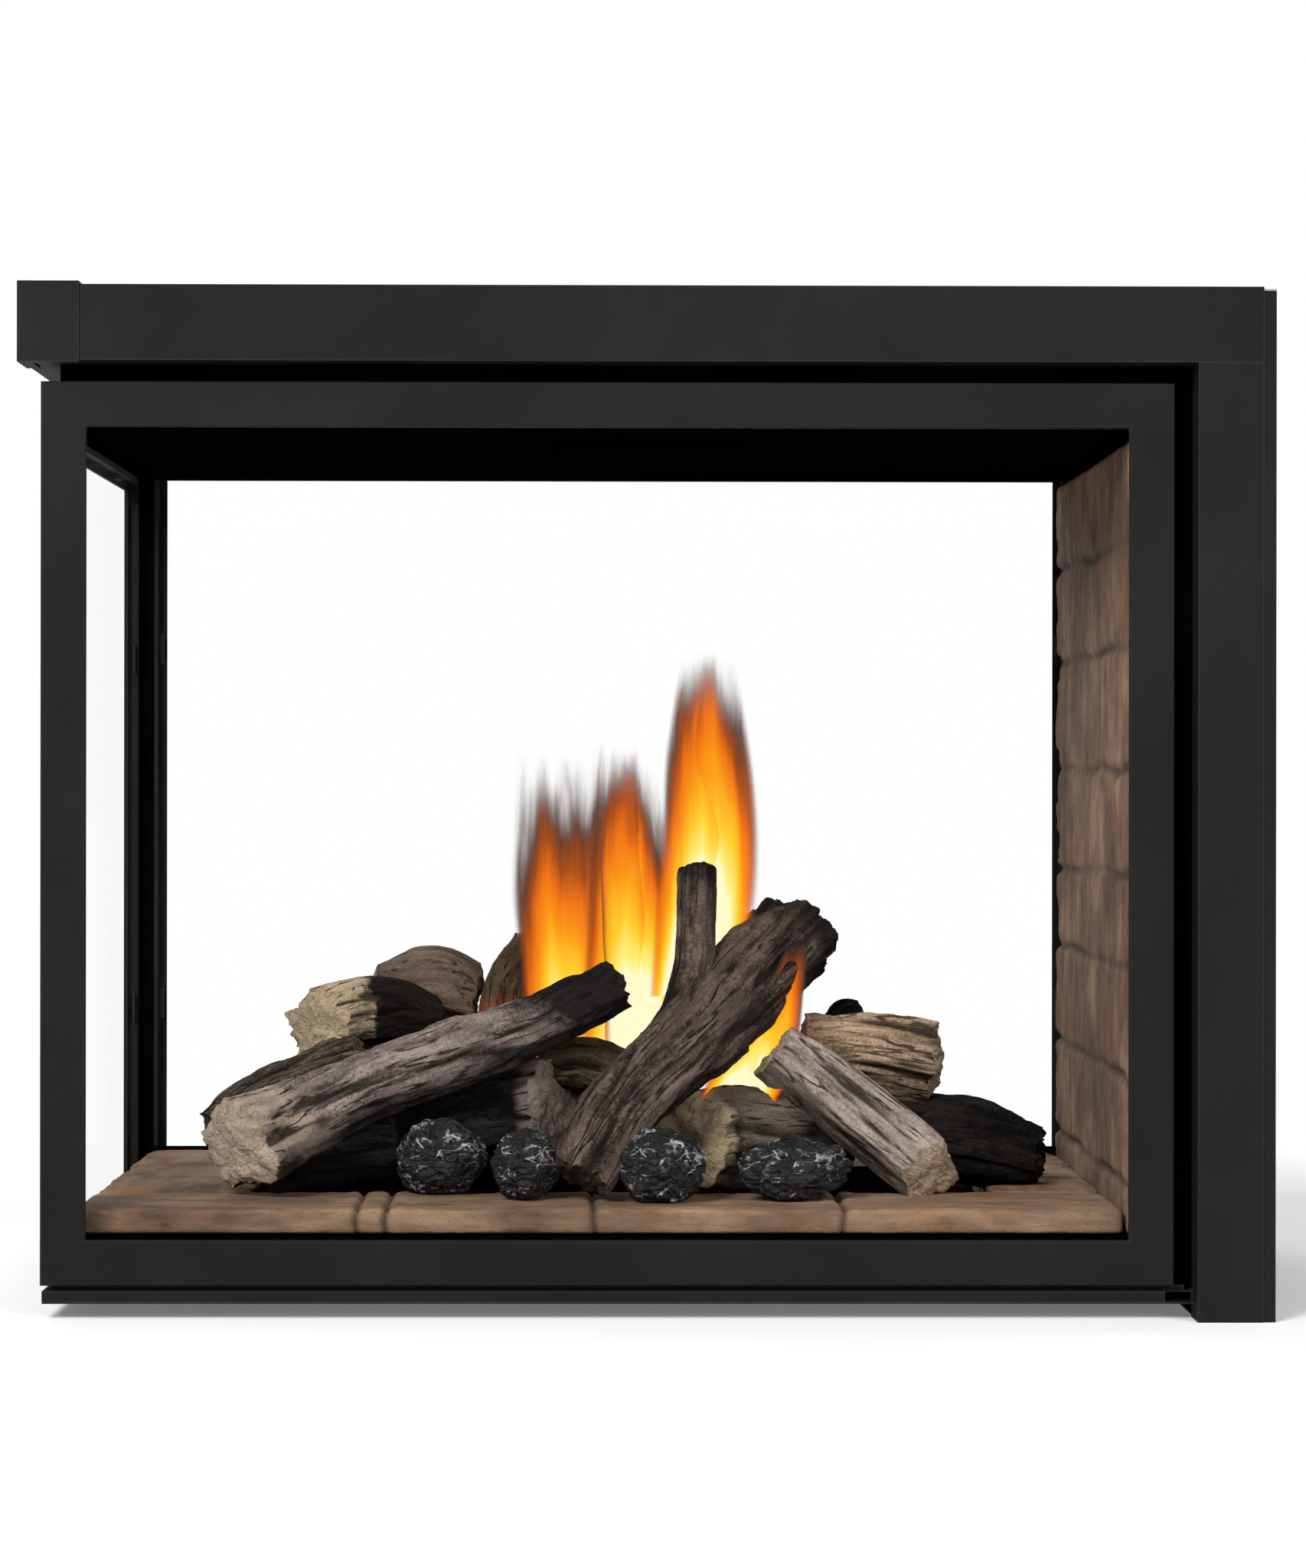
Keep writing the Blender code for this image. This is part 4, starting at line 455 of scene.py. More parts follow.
def closed_form(name, places, material, marks):
    """A closed mesh from a grid of rows by columns: rows join round, and a fan closes each end row
    on its mean. Marks are arrays of one number or three a point, kept as attributes."""
    rows, columns = places.shape[:2]
    poles = np.stack([places[0].mean(axis=0), places[-1].mean(axis=0)])
    points = np.concatenate([places.reshape(-1, 3), poles])
    ring = np.arange(columns)
    after = (ring + 1) % columns
    last = (rows - 1) * columns
    first_fan = np.stack([np.full(columns, rows * columns), after, ring], axis=-1)
    last_fan = np.stack([np.full(columns, rows * columns + 1), last + ring, last + after], axis=-1)
    faces = grid_quads(rows, columns, True).tolist() + first_fan.tolist() + last_fan.tolist()
    mesh = bpy.data.meshes.new(name)
    mesh.from_pydata(points.tolist(), [], faces)
    for mark, values in marks.items():
        ends = np.stack([values[0].mean(axis=0), values[-1].mean(axis=0)])
        keep_mark(mesh, mark, np.concatenate([values.reshape(-1, *values.shape[2:]), ends]))
    form = bmesh.new()
    form.from_mesh(mesh)
    if form.calc_volume(signed=True) < 0:
        bmesh.ops.reverse_faces(form, faces=form.faces)
    form.to_mesh(mesh)
    form.free()
    mesh.shade_smooth()
    mesh.materials.append(material)
    return put_in(name, mesh)


def refractory(name, stretch, tones):
    """Moulded brick: three tones in long streaks, dark where the joints mark says, with fine pores,
    patches fired redder and dark stains."""
    brick = Finish(name)
    streak = brick.noise(brick.place(stretch), 34.0, 6.0, 0.65)
    patch = brick.noise(brick.place(), 6.5, 3.0, 0.6)
    pores = brick.noise(brick.place(), 420.0, 3.0, 0.6)
    tint = brick.ramp(streak * 0.5 + patch * 0.5, [(0.34, tones[0]), (0.5, tones[1]), (0.64, tones[2])])
    tint = brick.mix(brick.mark("joint") * 0.8, tint, (0.022, 0.016, 0.012))
    tint = brick.mix(pores.step(0.6, 0.72) * 0.35, tint, (0.04, 0.03, 0.022))
    fired = brick.noise(brick.place((1.0, 1.0, 0.4)), 9.0, 4.0, 0.65)
    redder = brick.mix(1.0, tint, (1.05, 0.74, 0.58), "MULTIPLY")
    tint = brick.mix(fired.step(0.5, 0.66) * 0.55, tint, redder)
    stained = brick.noise(brick.place(), 15.0, 5.0, 0.7)
    tint = brick.mix(stained.step(0.54, 0.7) * 0.45, tint, (0.055, 0.034, 0.023))
    height = streak * 0.4 + pores * 0.5 + stained * 0.6
    return brick.surface(Base_Color=tint, Roughness=0.86 + pores * 0.08, Specular_IOR_Level=0.25,
                         Normal=brick.bump(height, 0.0022, 0.75))


def slab_outline(low, high, count):
    """Points at even steps round the panel's upright section, from its inner rear corner forward."""
    deep, wide = high[0] - low[0], high[1] - low[1]
    reach = np.linspace(0, 1, count, endpoint=False) * (2 * (deep + wide))
    sides = [reach < wide, reach < wide + deep, reach < 2 * wide + deep]
    x = np.select(sides, [low[0] + 0 * reach, low[0] + reach - wide, high[0] + 0 * reach],
                  high[0] - (reach - 2 * wide - deep))
    y = np.select(sides, [high[1] - reach, low[1] + 0 * reach, low[1] + reach - wide - deep],
                  high[1] + 0 * reach)
    return x, y


def brick_slab():
    """The panel: a rounded upright section, set in or out by worn brick faces and joints. A joint is
    a groove of depth d exp(-(distance / width)^2) from the nearest course line or upright."""
    rows, columns = 330, 260
    corner_round, end_round = 0.006, 0.003
    course_width, upright_width, edge_width = 0.0048, 0.004, 0.012
    joint_depth, chip_depth, edge_depth, deepest = 0.004, 0.002, 0.008, 0.013
    course_shares = np.array((0.063, 0.198, 0.337, 0.45, 0.587, 0.741, 0.876))
    upright_shares = np.array((0.42, 0.78, 0.3, 0.62, 0.86, 0.38, 0.7, 0.25))
    tones = ((0.048, 0.026, 0.016), (0.16, 0.092, 0.055), (0.31, 0.2, 0.13))

    low, high = (np.array(corner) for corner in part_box("brick_panel_right"))
    deep, wide, tall = high - low
    x, y = (np.repeat(side[None, :], rows, axis=0) for side in slab_outline(low, high, columns))
    levels = np.linspace(low[2], high[2], rows)
    z = np.repeat(levels[:, None], columns, axis=1)
    face = eased_step(high[0] - x, 0.0, deep)

    courses = low[2] + tall * course_shares
    course = np.searchsorted(courses, levels)
    uprights = low[1] + wide * upright_shares[course]
    wander = 0.0075 * weathered(np.stack([y * 11, z * 11, 0 * z], axis=-1), 3.1, 3)
    to_course = np.abs(z[..., None] + wander[..., None] - courses).min(axis=-1)
    to_upright = np.abs(y + wander - uprights[:, None])
    worn = 0.35 + 0.65 * eased_step(mottle(np.stack([y * 9, z * 9, 0 * z], axis=-1), 6.4), -0.5, 0.4)
    groove = np.maximum(near(to_course, course_width) * worn, near(to_upright, upright_width) * worn * 0.6)
    each = 0.0022 * mottle(np.stack([course[:, None] * 3.7 + 0 * y, y * 6, 0 * y], axis=-1), 8.0)
    chips = weathered(np.stack([x * 60, y * 60, z * 34], axis=-1), 5.0)
    edge = near(y - low[1], edge_width) + near(y - high[1], edge_width)
    broken = np.maximum(eased_step(chips, -0.05, 0.5), groove * 0.8)
    inward = joint_depth * groove + chip_depth * (chips + 1) + edge_depth * edge * broken + each * 0.5 + 0.001
    inward = np.clip(inward, 0, deepest) * np.clip(face * 3, 0.12, 1)
    ends = near(z - low[2], end_round) + near(z - high[2], end_round)
    inward = inward + end_round * ends * face

    out_x = np.clip((x - (low[0] + high[0]) / 2) / (deep / 2 - corner_round), -1, 1) ** 5
    out_y = np.clip((y - (low[1] + high[1]) / 2) / (wide / 2 - corner_round), -1, 1) ** 25
    far = np.sqrt(out_x ** 2 + out_y ** 2) + 1e-6
    places = np.stack([x - out_x / far * inward, y - out_y / far * inward, z], axis=-1)
    brick = refractory("streaked refractory", (1.0, 1.0, 0.42), tones)
    return closed_form("brick_panel_face", places, brick, {"joint": groove * face})


slab = brick_slab()
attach(slab, "case")
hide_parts("brick_panel_right")


# Hearth bricks
# Four rows of low refractory brick lie round the burner on the firebox floor. Each row is moulded
# in one length with rounded, worn edges and narrow joints between its bricks.
def brick_run(name, node, along, joints, seed):
    """A rounded section carried along a row: |b|^n + |z|^n = 1 with n = 9, drawn in at each joint by
    d exp(-(distance / width)^2), raised a little beside it, and worn by noise."""
    columns, row_step, power = 120, 0.0024, 2 / 9
    joint_width, joint_depth = 0.0026, 0.0042
    lip_place, lip_width, lip_height = 0.011, 0.006, 0.0009
    end_width, end_depth, rim_width, rim_depth, deepest = 0.003, 0.0028, 0.01, 0.003, 0.01
    wear_depth, pit_depth = 0.0011, 0.0004
    tones = ((0.07, 0.041, 0.025), (0.205, 0.127, 0.078), (0.33, 0.222, 0.142))

    low, high = (np.array(corner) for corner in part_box(node))
    across = 1 - along
    length, wide, tall = high[along] - low[along], high[across] - low[across], high[2] - low[2]
    centre = (low + high) / 2
    rows = max(int(length / row_step), 60)
    turn = np.linspace(0, 2 * math.pi, columns, endpoint=False)
    sideways = np.sign(np.cos(turn)) * np.abs(np.cos(turn)) ** power
    upward = np.sign(np.sin(turn)) * np.abs(np.sin(turn)) ** power
    s = np.repeat((low[along] + length * np.linspace(0, 1, rows))[:, None], columns, axis=1)
    b = centre[across] + wide / 2 * np.repeat(sideways[None, :], rows, axis=0)
    z = centre[2] + tall / 2 * np.repeat(upward[None, :], rows, axis=0)
    place = np.empty((rows, columns, 3))
    place[..., along], place[..., across], place[..., 2] = s, b, z

    lines = low[along] + length * np.array(joints)
    wander = 0.003 * mottle(place * np.array((24, 24, 60)), seed)
    distance = np.abs(s[..., None] + wander[..., None] - lines).min(axis=-1)
    groove = near(distance, joint_width)
    lip = near(distance - lip_place, lip_width)
    ends = near(s - low[along], end_width) + near(s - high[along], end_width)
    wear = weathered(place * np.array((38, 38, 70)), seed + 2.0)
    pits = weathered(place * 130, seed + 5.0, 3)
    rim = eased_step(z, centre[2], high[2]) * near(np.abs(b - centre[across]) - wide / 2, rim_width)
    inward = (joint_depth * groove + end_depth * ends + wear_depth * (wear + 1) + pit_depth * (pits + 1)
              - lip_height * lip + rim_depth * rim * eased_step(wear, 0.0, 0.7))
    inward = np.clip(inward, 0, deepest)
    place[..., across] -= sideways * inward
    place[..., 2] -= upward * inward * eased_step(upward, -0.9, 0.2)

    stretch = (0.35, 1.4, 1.4) if along == 0 else (1.4, 0.35, 1.4)
    made = closed_form(name, place, refractory(name + " brick", stretch, tones), {"joint": groove})
    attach(made, "case")
    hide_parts(node)


brick_run("hearth_row_front", "hearth_front", along=0, joints=(0.268, 0.296, 0.494, 0.733), seed=1.0)
brick_run("hearth_row_rear", "hearth_rear", along=0, joints=(0.3, 0.65), seed=2.0)
brick_run("hearth_row_left", "hearth_left", along=1, joints=(0.3, 0.62), seed=3.0)
brick_run("hearth_row_right", "hearth_right", along=1, joints=(0.3, 0.62), seed=4.0)


# Log set
# Twelve logs of cast ceramic fibre, painted by hand as weathered, split and charred wood. Each is
# stacked dry on the hearth, on the burner and in the notches of the logs below it.
def smooth_line(knots, shares):
    """A Catmull-Rom curve through the knots, read at shares of its length from 0 to 1:
    (2b + (c-a)t + (2a-5b+4c-d)t^2 + (3b-a-3c+d)t^3) / 2 between knots b and c."""
    knots = np.array(knots, dtype=float)
    place = shares * (len(knots) - 1)
    i = np.minimum(place.astype(int), len(knots) - 2)
    t = (place - i)[:, None]
    a, b, c = knots[np.maximum(i - 1, 0)], knots[i], knots[i + 1]
    d = knots[np.minimum(i + 2, len(knots) - 1)]
    square, cube = 2 * a - 5 * b + 4 * c - d, 3 * b - a - 3 * c + d
    return (2 * b + (c - a) * t + square * t ** 2 + cube * t ** 3) / 2


def trunk_line(knots, rows):
    """A trunk's middle line, its radius there, the distance along it, and three directions square to
    each other: ahead, side = ahead x z and up = side x ahead. A knot is x, y, z and the radius."""
    line = smooth_line(knots, np.linspace(0, 1, rows))
    middle, girth = line[:, :3], line[:, 3]
    walked = np.concatenate([[0], np.cumsum(np.linalg.norm(np.diff(middle, axis=0), axis=1))])
    ahead = np.gradient(middle, axis=0)
    ahead /= np.linalg.norm(ahead, axis=1)[:, None]
    side = np.cross(ahead, np.array((0.0, 0.0, 1.0)))
    side /= np.linalg.norm(side, axis=1)[:, None] + 1e-9
    return middle, girth, walked, ahead, side, np.cross(side, ahead)


def hewn_outline(a, s, r, seed, flats, hewn, sides):
    """The reach at angle a and distance s: r times a lobed round 1 + sum f_k sin(k a + phase), or the
    least flat cut c_i(s) r / cos(a - a_i) where that is nearer."""
    lobes = (flats * np.sin(2 * a + seed + 5 * s) + 0.6 * flats * np.sin(3 * a + 2 * seed - 9 * s)
             + 0.4 * flats * np.sin(5 * a + 3 * seed + 13 * s))
    reach = r * (1 + lobes)
    for i in range(sides):
        turn = seed + 2 * math.pi * i / sides + 0.3 * math.sin(7 * seed + 3 * i)
        cut = hewn + 0.05 * np.sin(11 * s + 2.4 * i + seed) + 0.04 * np.sin(31 * s + 5.1 * i)
        reach = np.minimum(reach, cut * r / np.maximum(np.cos(a - turn), 0.2))
    return reach


def log_skin(knots, seed, flats, bark, hewn=0.89, sides=7, ends=(0.004, 0.004), slant=(0.0, 0.0),
             rows=230, columns=160):
    """A bent trunk: a hewn outline carried along its middle line, plus long furrows and crumbs of
    noise, bark deep. The cap rows at each end fold in to the middle, pushed in and out by coarse
    noise, ends deep, and an end is drawn back on its front side by slant times the distance in front
    of the middle line. Near an end that push dies away as exp(-distance / end_fade)."""
    cap, end_rows, end_fade, slant_fade = 22, 6, 0.008, 0.035
    furrow_width = 0.22
    middle, girth, walked, ahead, side, up = trunk_line(knots, rows)
    a = np.linspace(0, 2 * math.pi, columns, endpoint=False)
    rings = np.concatenate([np.zeros(cap, int), np.arange(rows), np.full(cap, rows - 1)])
    fold = np.linspace(0.02, 1, cap, endpoint=False) ** 0.8
    inset = np.concatenate([fold, np.ones(rows), fold[::-1]])[:, None]
    s, r, length = walked[rings][:, None], girth[rings][:, None], walked[-1]
    reach = hewn_outline(a, s, r, seed, flats, hewn, sides)

    grain = np.stack([reach * np.cos(a) * inset, reach * np.sin(a) * inset, s + 0 * reach], axis=-1)
    ridges = 1 - 2 * np.abs(weathered(grain * np.array((62, 62, 8)), seed, 4, 0.55))
    rough = weathered(grain * np.array((230, 230, 110)), seed + 9, 3, 0.6)
    knobs = weathered(grain * np.array((26, 26, 12)), seed + 4, 3)
    cleft = np.abs(weathered(grain * np.array((38, 38, 5)), seed + 2, 3))
    furrows = np.maximum(furrow_width - cleft, 0) / furrow_width
    depth = bark * (0.9 * ridges + 0.3 * rough + 1.1 * knobs - 1.3 * furrows)
    reach = (reach + depth * np.minimum(inset * 1.5, 1)) * inset

    cosine, sine = np.cos(a)[None, :, None], np.sin(a)[None, :, None]
    out = side[rings][:, None, :] * cosine + up[rings][:, None, :] * sine
    section = np.stack([reach * np.cos(a), reach * np.sin(a), 0 * reach + seed], axis=-1)
    broken = weathered(section * 75, seed + 6, 4)
    rounding = 0.12 * r * (1 - inset ** 4)
    row = np.arange(len(rings))[:, None]
    along = np.where(row < cap + end_rows, -ends[0] * broken * 2 - rounding, 0)
    along = along + np.where(row >= cap + rows - end_rows, ends[1] * broken * 2 + rounding, 0)
    along = along * np.where(inset < 1, 1, np.exp(-(np.minimum(s, length - s) / end_fade)))
    before = -(out[..., 1] * reach)
    first_slant = slant[0] * before * near(s, slant_fade)
    last_slant = slant[1] * before * near(length - s, slant_fade)
    along = along + (first_slant - last_slant)
    places = middle[rings][:, None, :] + out * reach[..., None] + ahead[rings][:, None, :] * along[..., None]
    sawn = np.where(inset < 0.97, 1.0, 0.0) + 0 * reach
    return places, {"grain": grain, "share": s / length + 0 * reach, "sawn": sawn,
                    "ridge": ridges - furrows, "sky": out[..., 2]}


def painted_wood(name, bark, cracks, sawn, char_and_shade, from_end=None, warm=None, bleached=0.0):
    """Painted ceramic: three bark tones in streaks along the grain, a touch lighter on top as painted top
    light, brushed lighter on the ridges, black in the furrows as painted shade, black in thin splits along
    the grain, black underneath as painted shade, pitted here and there, with its own tone on sawn ends. It
    is bleached over a share of its length from the first end, sooty from a share of it on, and painted warm
    with firelight below a height where it stands in the fire."""
    wood = Finish(name)
    grain = wood.mark("grain", output=1)
    ridge, face, share, sky = (wood.mark(mark) for mark in ("ridge", "sawn", "share", "sky"))
    streak = wood.noise(wood.place((1.0, 1.0, 0.16), grain), 120.0, 6.0, 0.66)
    splits = wood.noise(wood.place((1.0, 1.0, 0.09), grain), 78.0, 3.0, 0.5)
    patch = wood.noise(grain, 21.0, 5.0, 0.66)
    grit = wood.noise(grain, 330.0, 4.0, 0.68)
    pits = wood.node("TexVoronoi", {"feature": "F1"}, Vector=grain, Scale=190.0)
    # Painted top light: sky, how far the surface faces up, lightens the tone a little on top.
    tone = streak * 0.4 + patch * 0.3 + grit * 0.3 + sky * 0.02
    tint = wood.ramp(tone, [(0.42, bark[0]), (0.5, bark[1]), (0.585, bark[2])])
    tint = wood.mix((ridge - 0.2).step(0.0, 0.6) * 0.3, tint, bark[2])
    end_grain = wood.ramp(grit * 0.35 + patch * 0.35 + streak * 0.3, [(0.42, sawn[0]), (0.57, sawn[1])])
    tint = wood.mix(face * 0.95, tint, end_grain)
    if bleached:
        pale = (bleached - share + (patch - 0.5) * 0.35).step(0.0, 0.12)
        tint = wood.mix(pale * 0.55, tint, sawn[1])
    split = (splits - 0.5).size().step(0.03, 0.006) * streak.step(0.44, 0.56) * (1.0 - face * 0.6)
    furrow_shade = (0.12 - ridge).step(0.0, 0.62) * (1.0 - face)
    speck = pits.step(0.2, 0.08) * patch.step(0.46, 0.6) * 0.7
    # The cracks colour paints the thin splits and pits, and painted shade in the bark's furrows.
    tint = wood.mix(furrow_shade.most(split).most(speck) * 0.92, tint, cracks)
    # Painted shade: undersides, where sky points down, are mixed towards the char colour, nearly black.
    under = (0.0 - sky).step(-0.02, 0.6) * 0.95 * (1.0 - face)
    soot_and_shade = (patch - 0.54) * 1.4 * (1.0 - face) + under
    if from_end:
        soot_and_shade = soot_and_shade.most((share + (patch - 0.5) * 0.5).step(*from_end))
    # The char colour covers real soot patches, the sooty far end, and the painted underside shade.
    tint = wood.mix(soot_and_shade.least(1.0).most(0.0) * char_and_shade[1], tint, char_and_shade[0])
    # Painted firelight: an orange glow colour mixed in below a height, where the log stands in the fire.
    if warm:
        low, high, glow = warm
        level = wood.node("SeparateXYZ", output=2, Vector=wood.node("TexCoord", output="Object"))
        tint = wood.mix((level + (patch - 0.5) * 0.03).step(high, low) * 0.75, tint, glow)
    height = streak * 0.55 + grit * 0.65 - split * 0.5 - speck * 0.3
    return wood.surface(Base_Color=tint, Roughness=0.84 + grit * 0.12, Specular_IOR_Level=0.12,
                        Normal=wood.bump(height, 0.0045, 1.0))


def laid(name, node, skins, material):
    """One log in the scene from one or more skins, riding on the case in place of its solid."""
    limbs = [closed_form(name if i == 0 else name + "_limb_" + str(i), places, material, marks)
             for i, (places, marks) in enumerate(skins)]
    for limb in limbs:
        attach(limb, "case")
        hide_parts(node)


GREY_BARK = ((0.04, 0.029, 0.024), (0.135, 0.105, 0.093), (0.34, 0.275, 0.245))
DARK_BARK = ((0.013, 0.009, 0.007), (0.052, 0.037, 0.029), (0.165, 0.122, 0.098))
CHARRED = ((0.0015, 0.0015, 0.0015), (0.005, 0.005, 0.005), (0.028, 0.0265, 0.0265))
# Dark for cracks in charred logs, and for the painted shade in their furrows.
CHARRED_CRACKS_AND_SHADE = (0.003, 0.003, 0.003)
CHARRED_END = ((0.01, 0.009, 0.008), (0.03, 0.026, 0.022))
SAWN_TAN = ((0.24, 0.17, 0.11), (0.5, 0.38, 0.27))
# Black for real soot and char, and for the painted shade on log undersides.
SOOT_AND_SHADE = (0.0035, 0.003, 0.003)

trunk = log_skin([(-0.0603, -0.1978, 0.116, 0.0305), (-0.0229, -0.163, 0.174, 0.036),
                  (0.0295, -0.1183, 0.2203, 0.0412), (0.0856, -0.0632, 0.2735, 0.045),
                  (0.1465, -0.0034, 0.3287, 0.0485)], seed=1.3, flats=0.09, bark=0.0046, ends=(0.008, 0.005))
limb = log_skin([(0.000, -0.136, 0.196, 0.029), (0.029, -0.111, 0.238, 0.03),
                 (0.041, -0.09, 0.278, 0.0235), (0.0455, -0.074, 0.332, 0.0195),
                 (0.0475, -0.064, 0.394, 0.0188)],
                seed=2.2, flats=0.07, bark=0.0028, ends=(0.002, 0.003))
wood = painted_wood("weathered fork bark", DARK_BARK, cracks=(0.01, 0.008, 0.007),
                    sawn=((0.012, 0.01, 0.009), (0.05, 0.04, 0.032)), char_and_shade=(SOOT_AND_SHADE, 0.8),
                    from_end=(0.87, 0.97))
laid("fork_trunk", "log_fork", [trunk, limb], wood)

skin = log_skin([(-0.3717, -0.1729, 0.143, 0.0455), (-0.3241, -0.1531, 0.1622, 0.037),
                 (-0.2596, -0.1328, 0.1935, 0.0335), (-0.1913, -0.1079, 0.217, 0.0345),
                 (-0.1174, -0.0829, 0.24, 0.029), (-0.0743, -0.0684, 0.259, 0.028),
                 (-0.0304, -0.0533, 0.2825, 0.0232)],
                seed=3.4, flats=0.11, bark=0.0048, ends=(0.003, 0.006), slant=(0.55, 0.0))
wood = painted_wood("weathered grey bark", GREY_BARK, cracks=(0.016, 0.012, 0.01),
                    sawn=((0.17, 0.122, 0.088), (0.48, 0.37, 0.275)), char_and_shade=(SOOT_AND_SHADE, 0.95),
                    from_end=(0.7, 0.84), bleached=0.22)
laid("long_left", "log_long_left", [skin], wood)

skin = log_skin([(0.1221, -0.0829, 0.2224, 0.029), (0.1698, -0.1032, 0.1872, 0.034),
                 (0.2176, -0.1328, 0.1492, 0.035), (0.2587, -0.1583, 0.1174, 0.033)],
                seed=5.45, flats=0.03, bark=0.0017, hewn=0.74, sides=4, ends=(0.004, 0.003), slant=(0.3, 0.5))
wood = painted_wood("split grey wood", ((0.13, 0.1, 0.082), (0.29, 0.232, 0.196), (0.46, 0.375, 0.315)),
                    cracks=(0.022, 0.017, 0.013), sawn=SAWN_TAN, char_and_shade=(SOOT_AND_SHADE, 0.6))
laid("front_right", "log_front_right", [skin], wood)

skin = log_skin([(-0.3157, 0.0169, 0.239, 0.0368), (-0.2605, 0.0268, 0.2479, 0.04),
                 (-0.2053, 0.0367, 0.241, 0.03)],
                seed=0.9, flats=0.1, bark=0.0042, hewn=0.8, sides=5, ends=(0.003, 0.006), slant=(0.8, 0.0))
wood = painted_wood("burnt split chunk", ((0.22, 0.155, 0.095), (0.4, 0.3, 0.19), (0.56, 0.43, 0.29)),
                    cracks=(0.02, 0.016, 0.012), sawn=((0.32, 0.235, 0.15), (0.6, 0.46, 0.31)),
                    char_and_shade=(SOOT_AND_SHADE, 0.985), from_end=(0.38, 0.45))
laid("top_left", "log_top_left", [skin], wood)

skin = log_skin([(-0.2567, 0.0866, 0.2597, 0.0368), (-0.2118, 0.0866, 0.2686, 0.0448),
                 (-0.1697, 0.0866, 0.2597, 0.0368)], seed=2.9, flats=0.05, bark=0.0025)
wood = painted_wood("rounded tan log", ((0.055, 0.038, 0.027), (0.115, 0.078, 0.056), (0.19, 0.138, 0.105)),
                    cracks=(0.03, 0.022, 0.016), sawn=SAWN_TAN, char_and_shade=(SOOT_AND_SHADE, 0.25),
                    warm=(0.235, 0.262, (0.2, 0.085, 0.035)))
laid("round_back", "log_round_back", [skin], wood)

skin = log_skin([(-0.1435, 0.0621, 0.2065, 0.03), (-0.1323, 0.0725, 0.2652, 0.0288),
                 (-0.1136, 0.0829, 0.3163, 0.0152)],
                seed=4.4, flats=0.12, bark=0.0035, sides=5, ends=(0.004, 0.006))
wood = painted_wood("ember-lit splinter", ((0.03, 0.022, 0.014), (0.07, 0.048, 0.028), (0.12, 0.09, 0.055)),
                    cracks=(0.008, 0.006, 0.004), sawn=SAWN_TAN, char_and_shade=(SOOT_AND_SHADE, 0.6),
                    warm=(0.236, 0.272, (0.42, 0.075, 0.018)))
laid("small_dark", "log_small_dark", [skin], wood)

skin = log_skin([(0.1521, -0.0299, 0.2155, 0.0355), (0.2045, -0.0262, 0.2134, 0.0385),
                 (0.2699, -0.0236, 0.203, 0.04)],
                seed=1.9, flats=0.1, bark=0.0042, hewn=0.84, sides=5, ends=(0.004, 0.006))
wood = painted_wood("split tan wood", ((0.12, 0.078, 0.049), (0.33, 0.222, 0.14), (0.58, 0.42, 0.28)),
                    cracks=(0.035, 0.026, 0.018), sawn=SAWN_TAN, char_and_shade=(SOOT_AND_SHADE, 0.55))
laid("back_right", "log_back_right", [skin], wood)

skin = log_skin([(0.1773, 0.0569, 0.2238, 0.0188), (0.1932, 0.0621, 0.243, 0.0214),
                 (0.2091, 0.0647, 0.2474, 0.0172)],
                seed=6.1, flats=0.12, bark=0.0036, hewn=0.82, sides=5, rows=90, columns=110)
wood = painted_wood("charred chunk", CHARRED, cracks=(0.002, 0.002, 0.002),
                    sawn=(SOOT_AND_SHADE, (0.012, 0.011, 0.01)), char_and_shade=(SOOT_AND_SHADE, 0.7))
laid("back_right_chunk", "log_back_right", [skin], wood)

skin = log_skin([(0.0342, -0.0829, 0.1388, 0.047), (0.0847, -0.073, 0.1402, 0.049),
                 (0.185, -0.058, 0.135, 0.046)],
                seed=3.8, flats=0.09, bark=0.0042, ends=(0.002, 0.005), slant=(0.8, 0.0))
wood = painted_wood("brown bark, pale end",
                    ((0.05, 0.04, 0.031), (0.105, 0.083, 0.065), (0.17, 0.135, 0.105)),
                    cracks=(0.014, 0.011, 0.009), sawn=((0.24, 0.17, 0.098), (0.56, 0.43, 0.265)),
                    char_and_shade=(SOOT_AND_SHADE, 0.9), from_end=(0.62, 0.8), bleached=0.12)
laid("centre_right", "log_centre_right", [skin], wood)

skin = log_skin([(-0.088, -0.056, 0.17, 0.049), (-0.1573, -0.04, 0.156, 0.054),
                 (-0.2324, -0.0231, 0.1443, 0.052)],
                seed=0.9, flats=0.08, bark=0.0042, hewn=0.84, sides=6, ends=(0.002, 0.005), slant=(0.4, 0.0))
wood = painted_wood("black log, pale end", CHARRED, CHARRED_CRACKS_AND_SHADE, char_and_shade=(SOOT_AND_SHADE, 0.6), bleached=0.13,
                    sawn=((0.08, 0.062, 0.052), (0.27, 0.215, 0.185)))
laid("mid_black", "log_mid_black", [skin], wood)

skin = log_skin([(-0.098, -0.03, 0.196, 0.022), (-0.064, -0.034, 0.201, 0.029),
                 (-0.03, -0.038, 0.19, 0.03)],
                seed=3.3, flats=0.12, bark=0.0045, hewn=0.84, sides=5, rows=110, columns=130)
wood = painted_wood("olive bark chunk", ((0.014, 0.011, 0.007), (0.045, 0.034, 0.02), (0.1, 0.078, 0.045)),
                    cracks=(0.004, 0.003, 0.003), sawn=SAWN_TAN, char_and_shade=(SOOT_AND_SHADE, 0.8))
laid("mid_black_chunk", "log_mid_black", [skin], wood)

skin = log_skin([(-0.3568, -0.1042, 0.1167, 0.0256), (-0.3016, -0.1042, 0.1312, 0.0312),
                 (-0.2371, -0.099, 0.1374, 0.0316)], seed=2.5, flats=0.1, bark=0.0042, ends=(0.005, 0.005))
wood = painted_wood("charred under log", CHARRED, CHARRED_CRACKS_AND_SHADE, CHARRED_END, char_and_shade=(SOOT_AND_SHADE, 0.7))
laid("under_left", "log_under_left", [skin], wood)

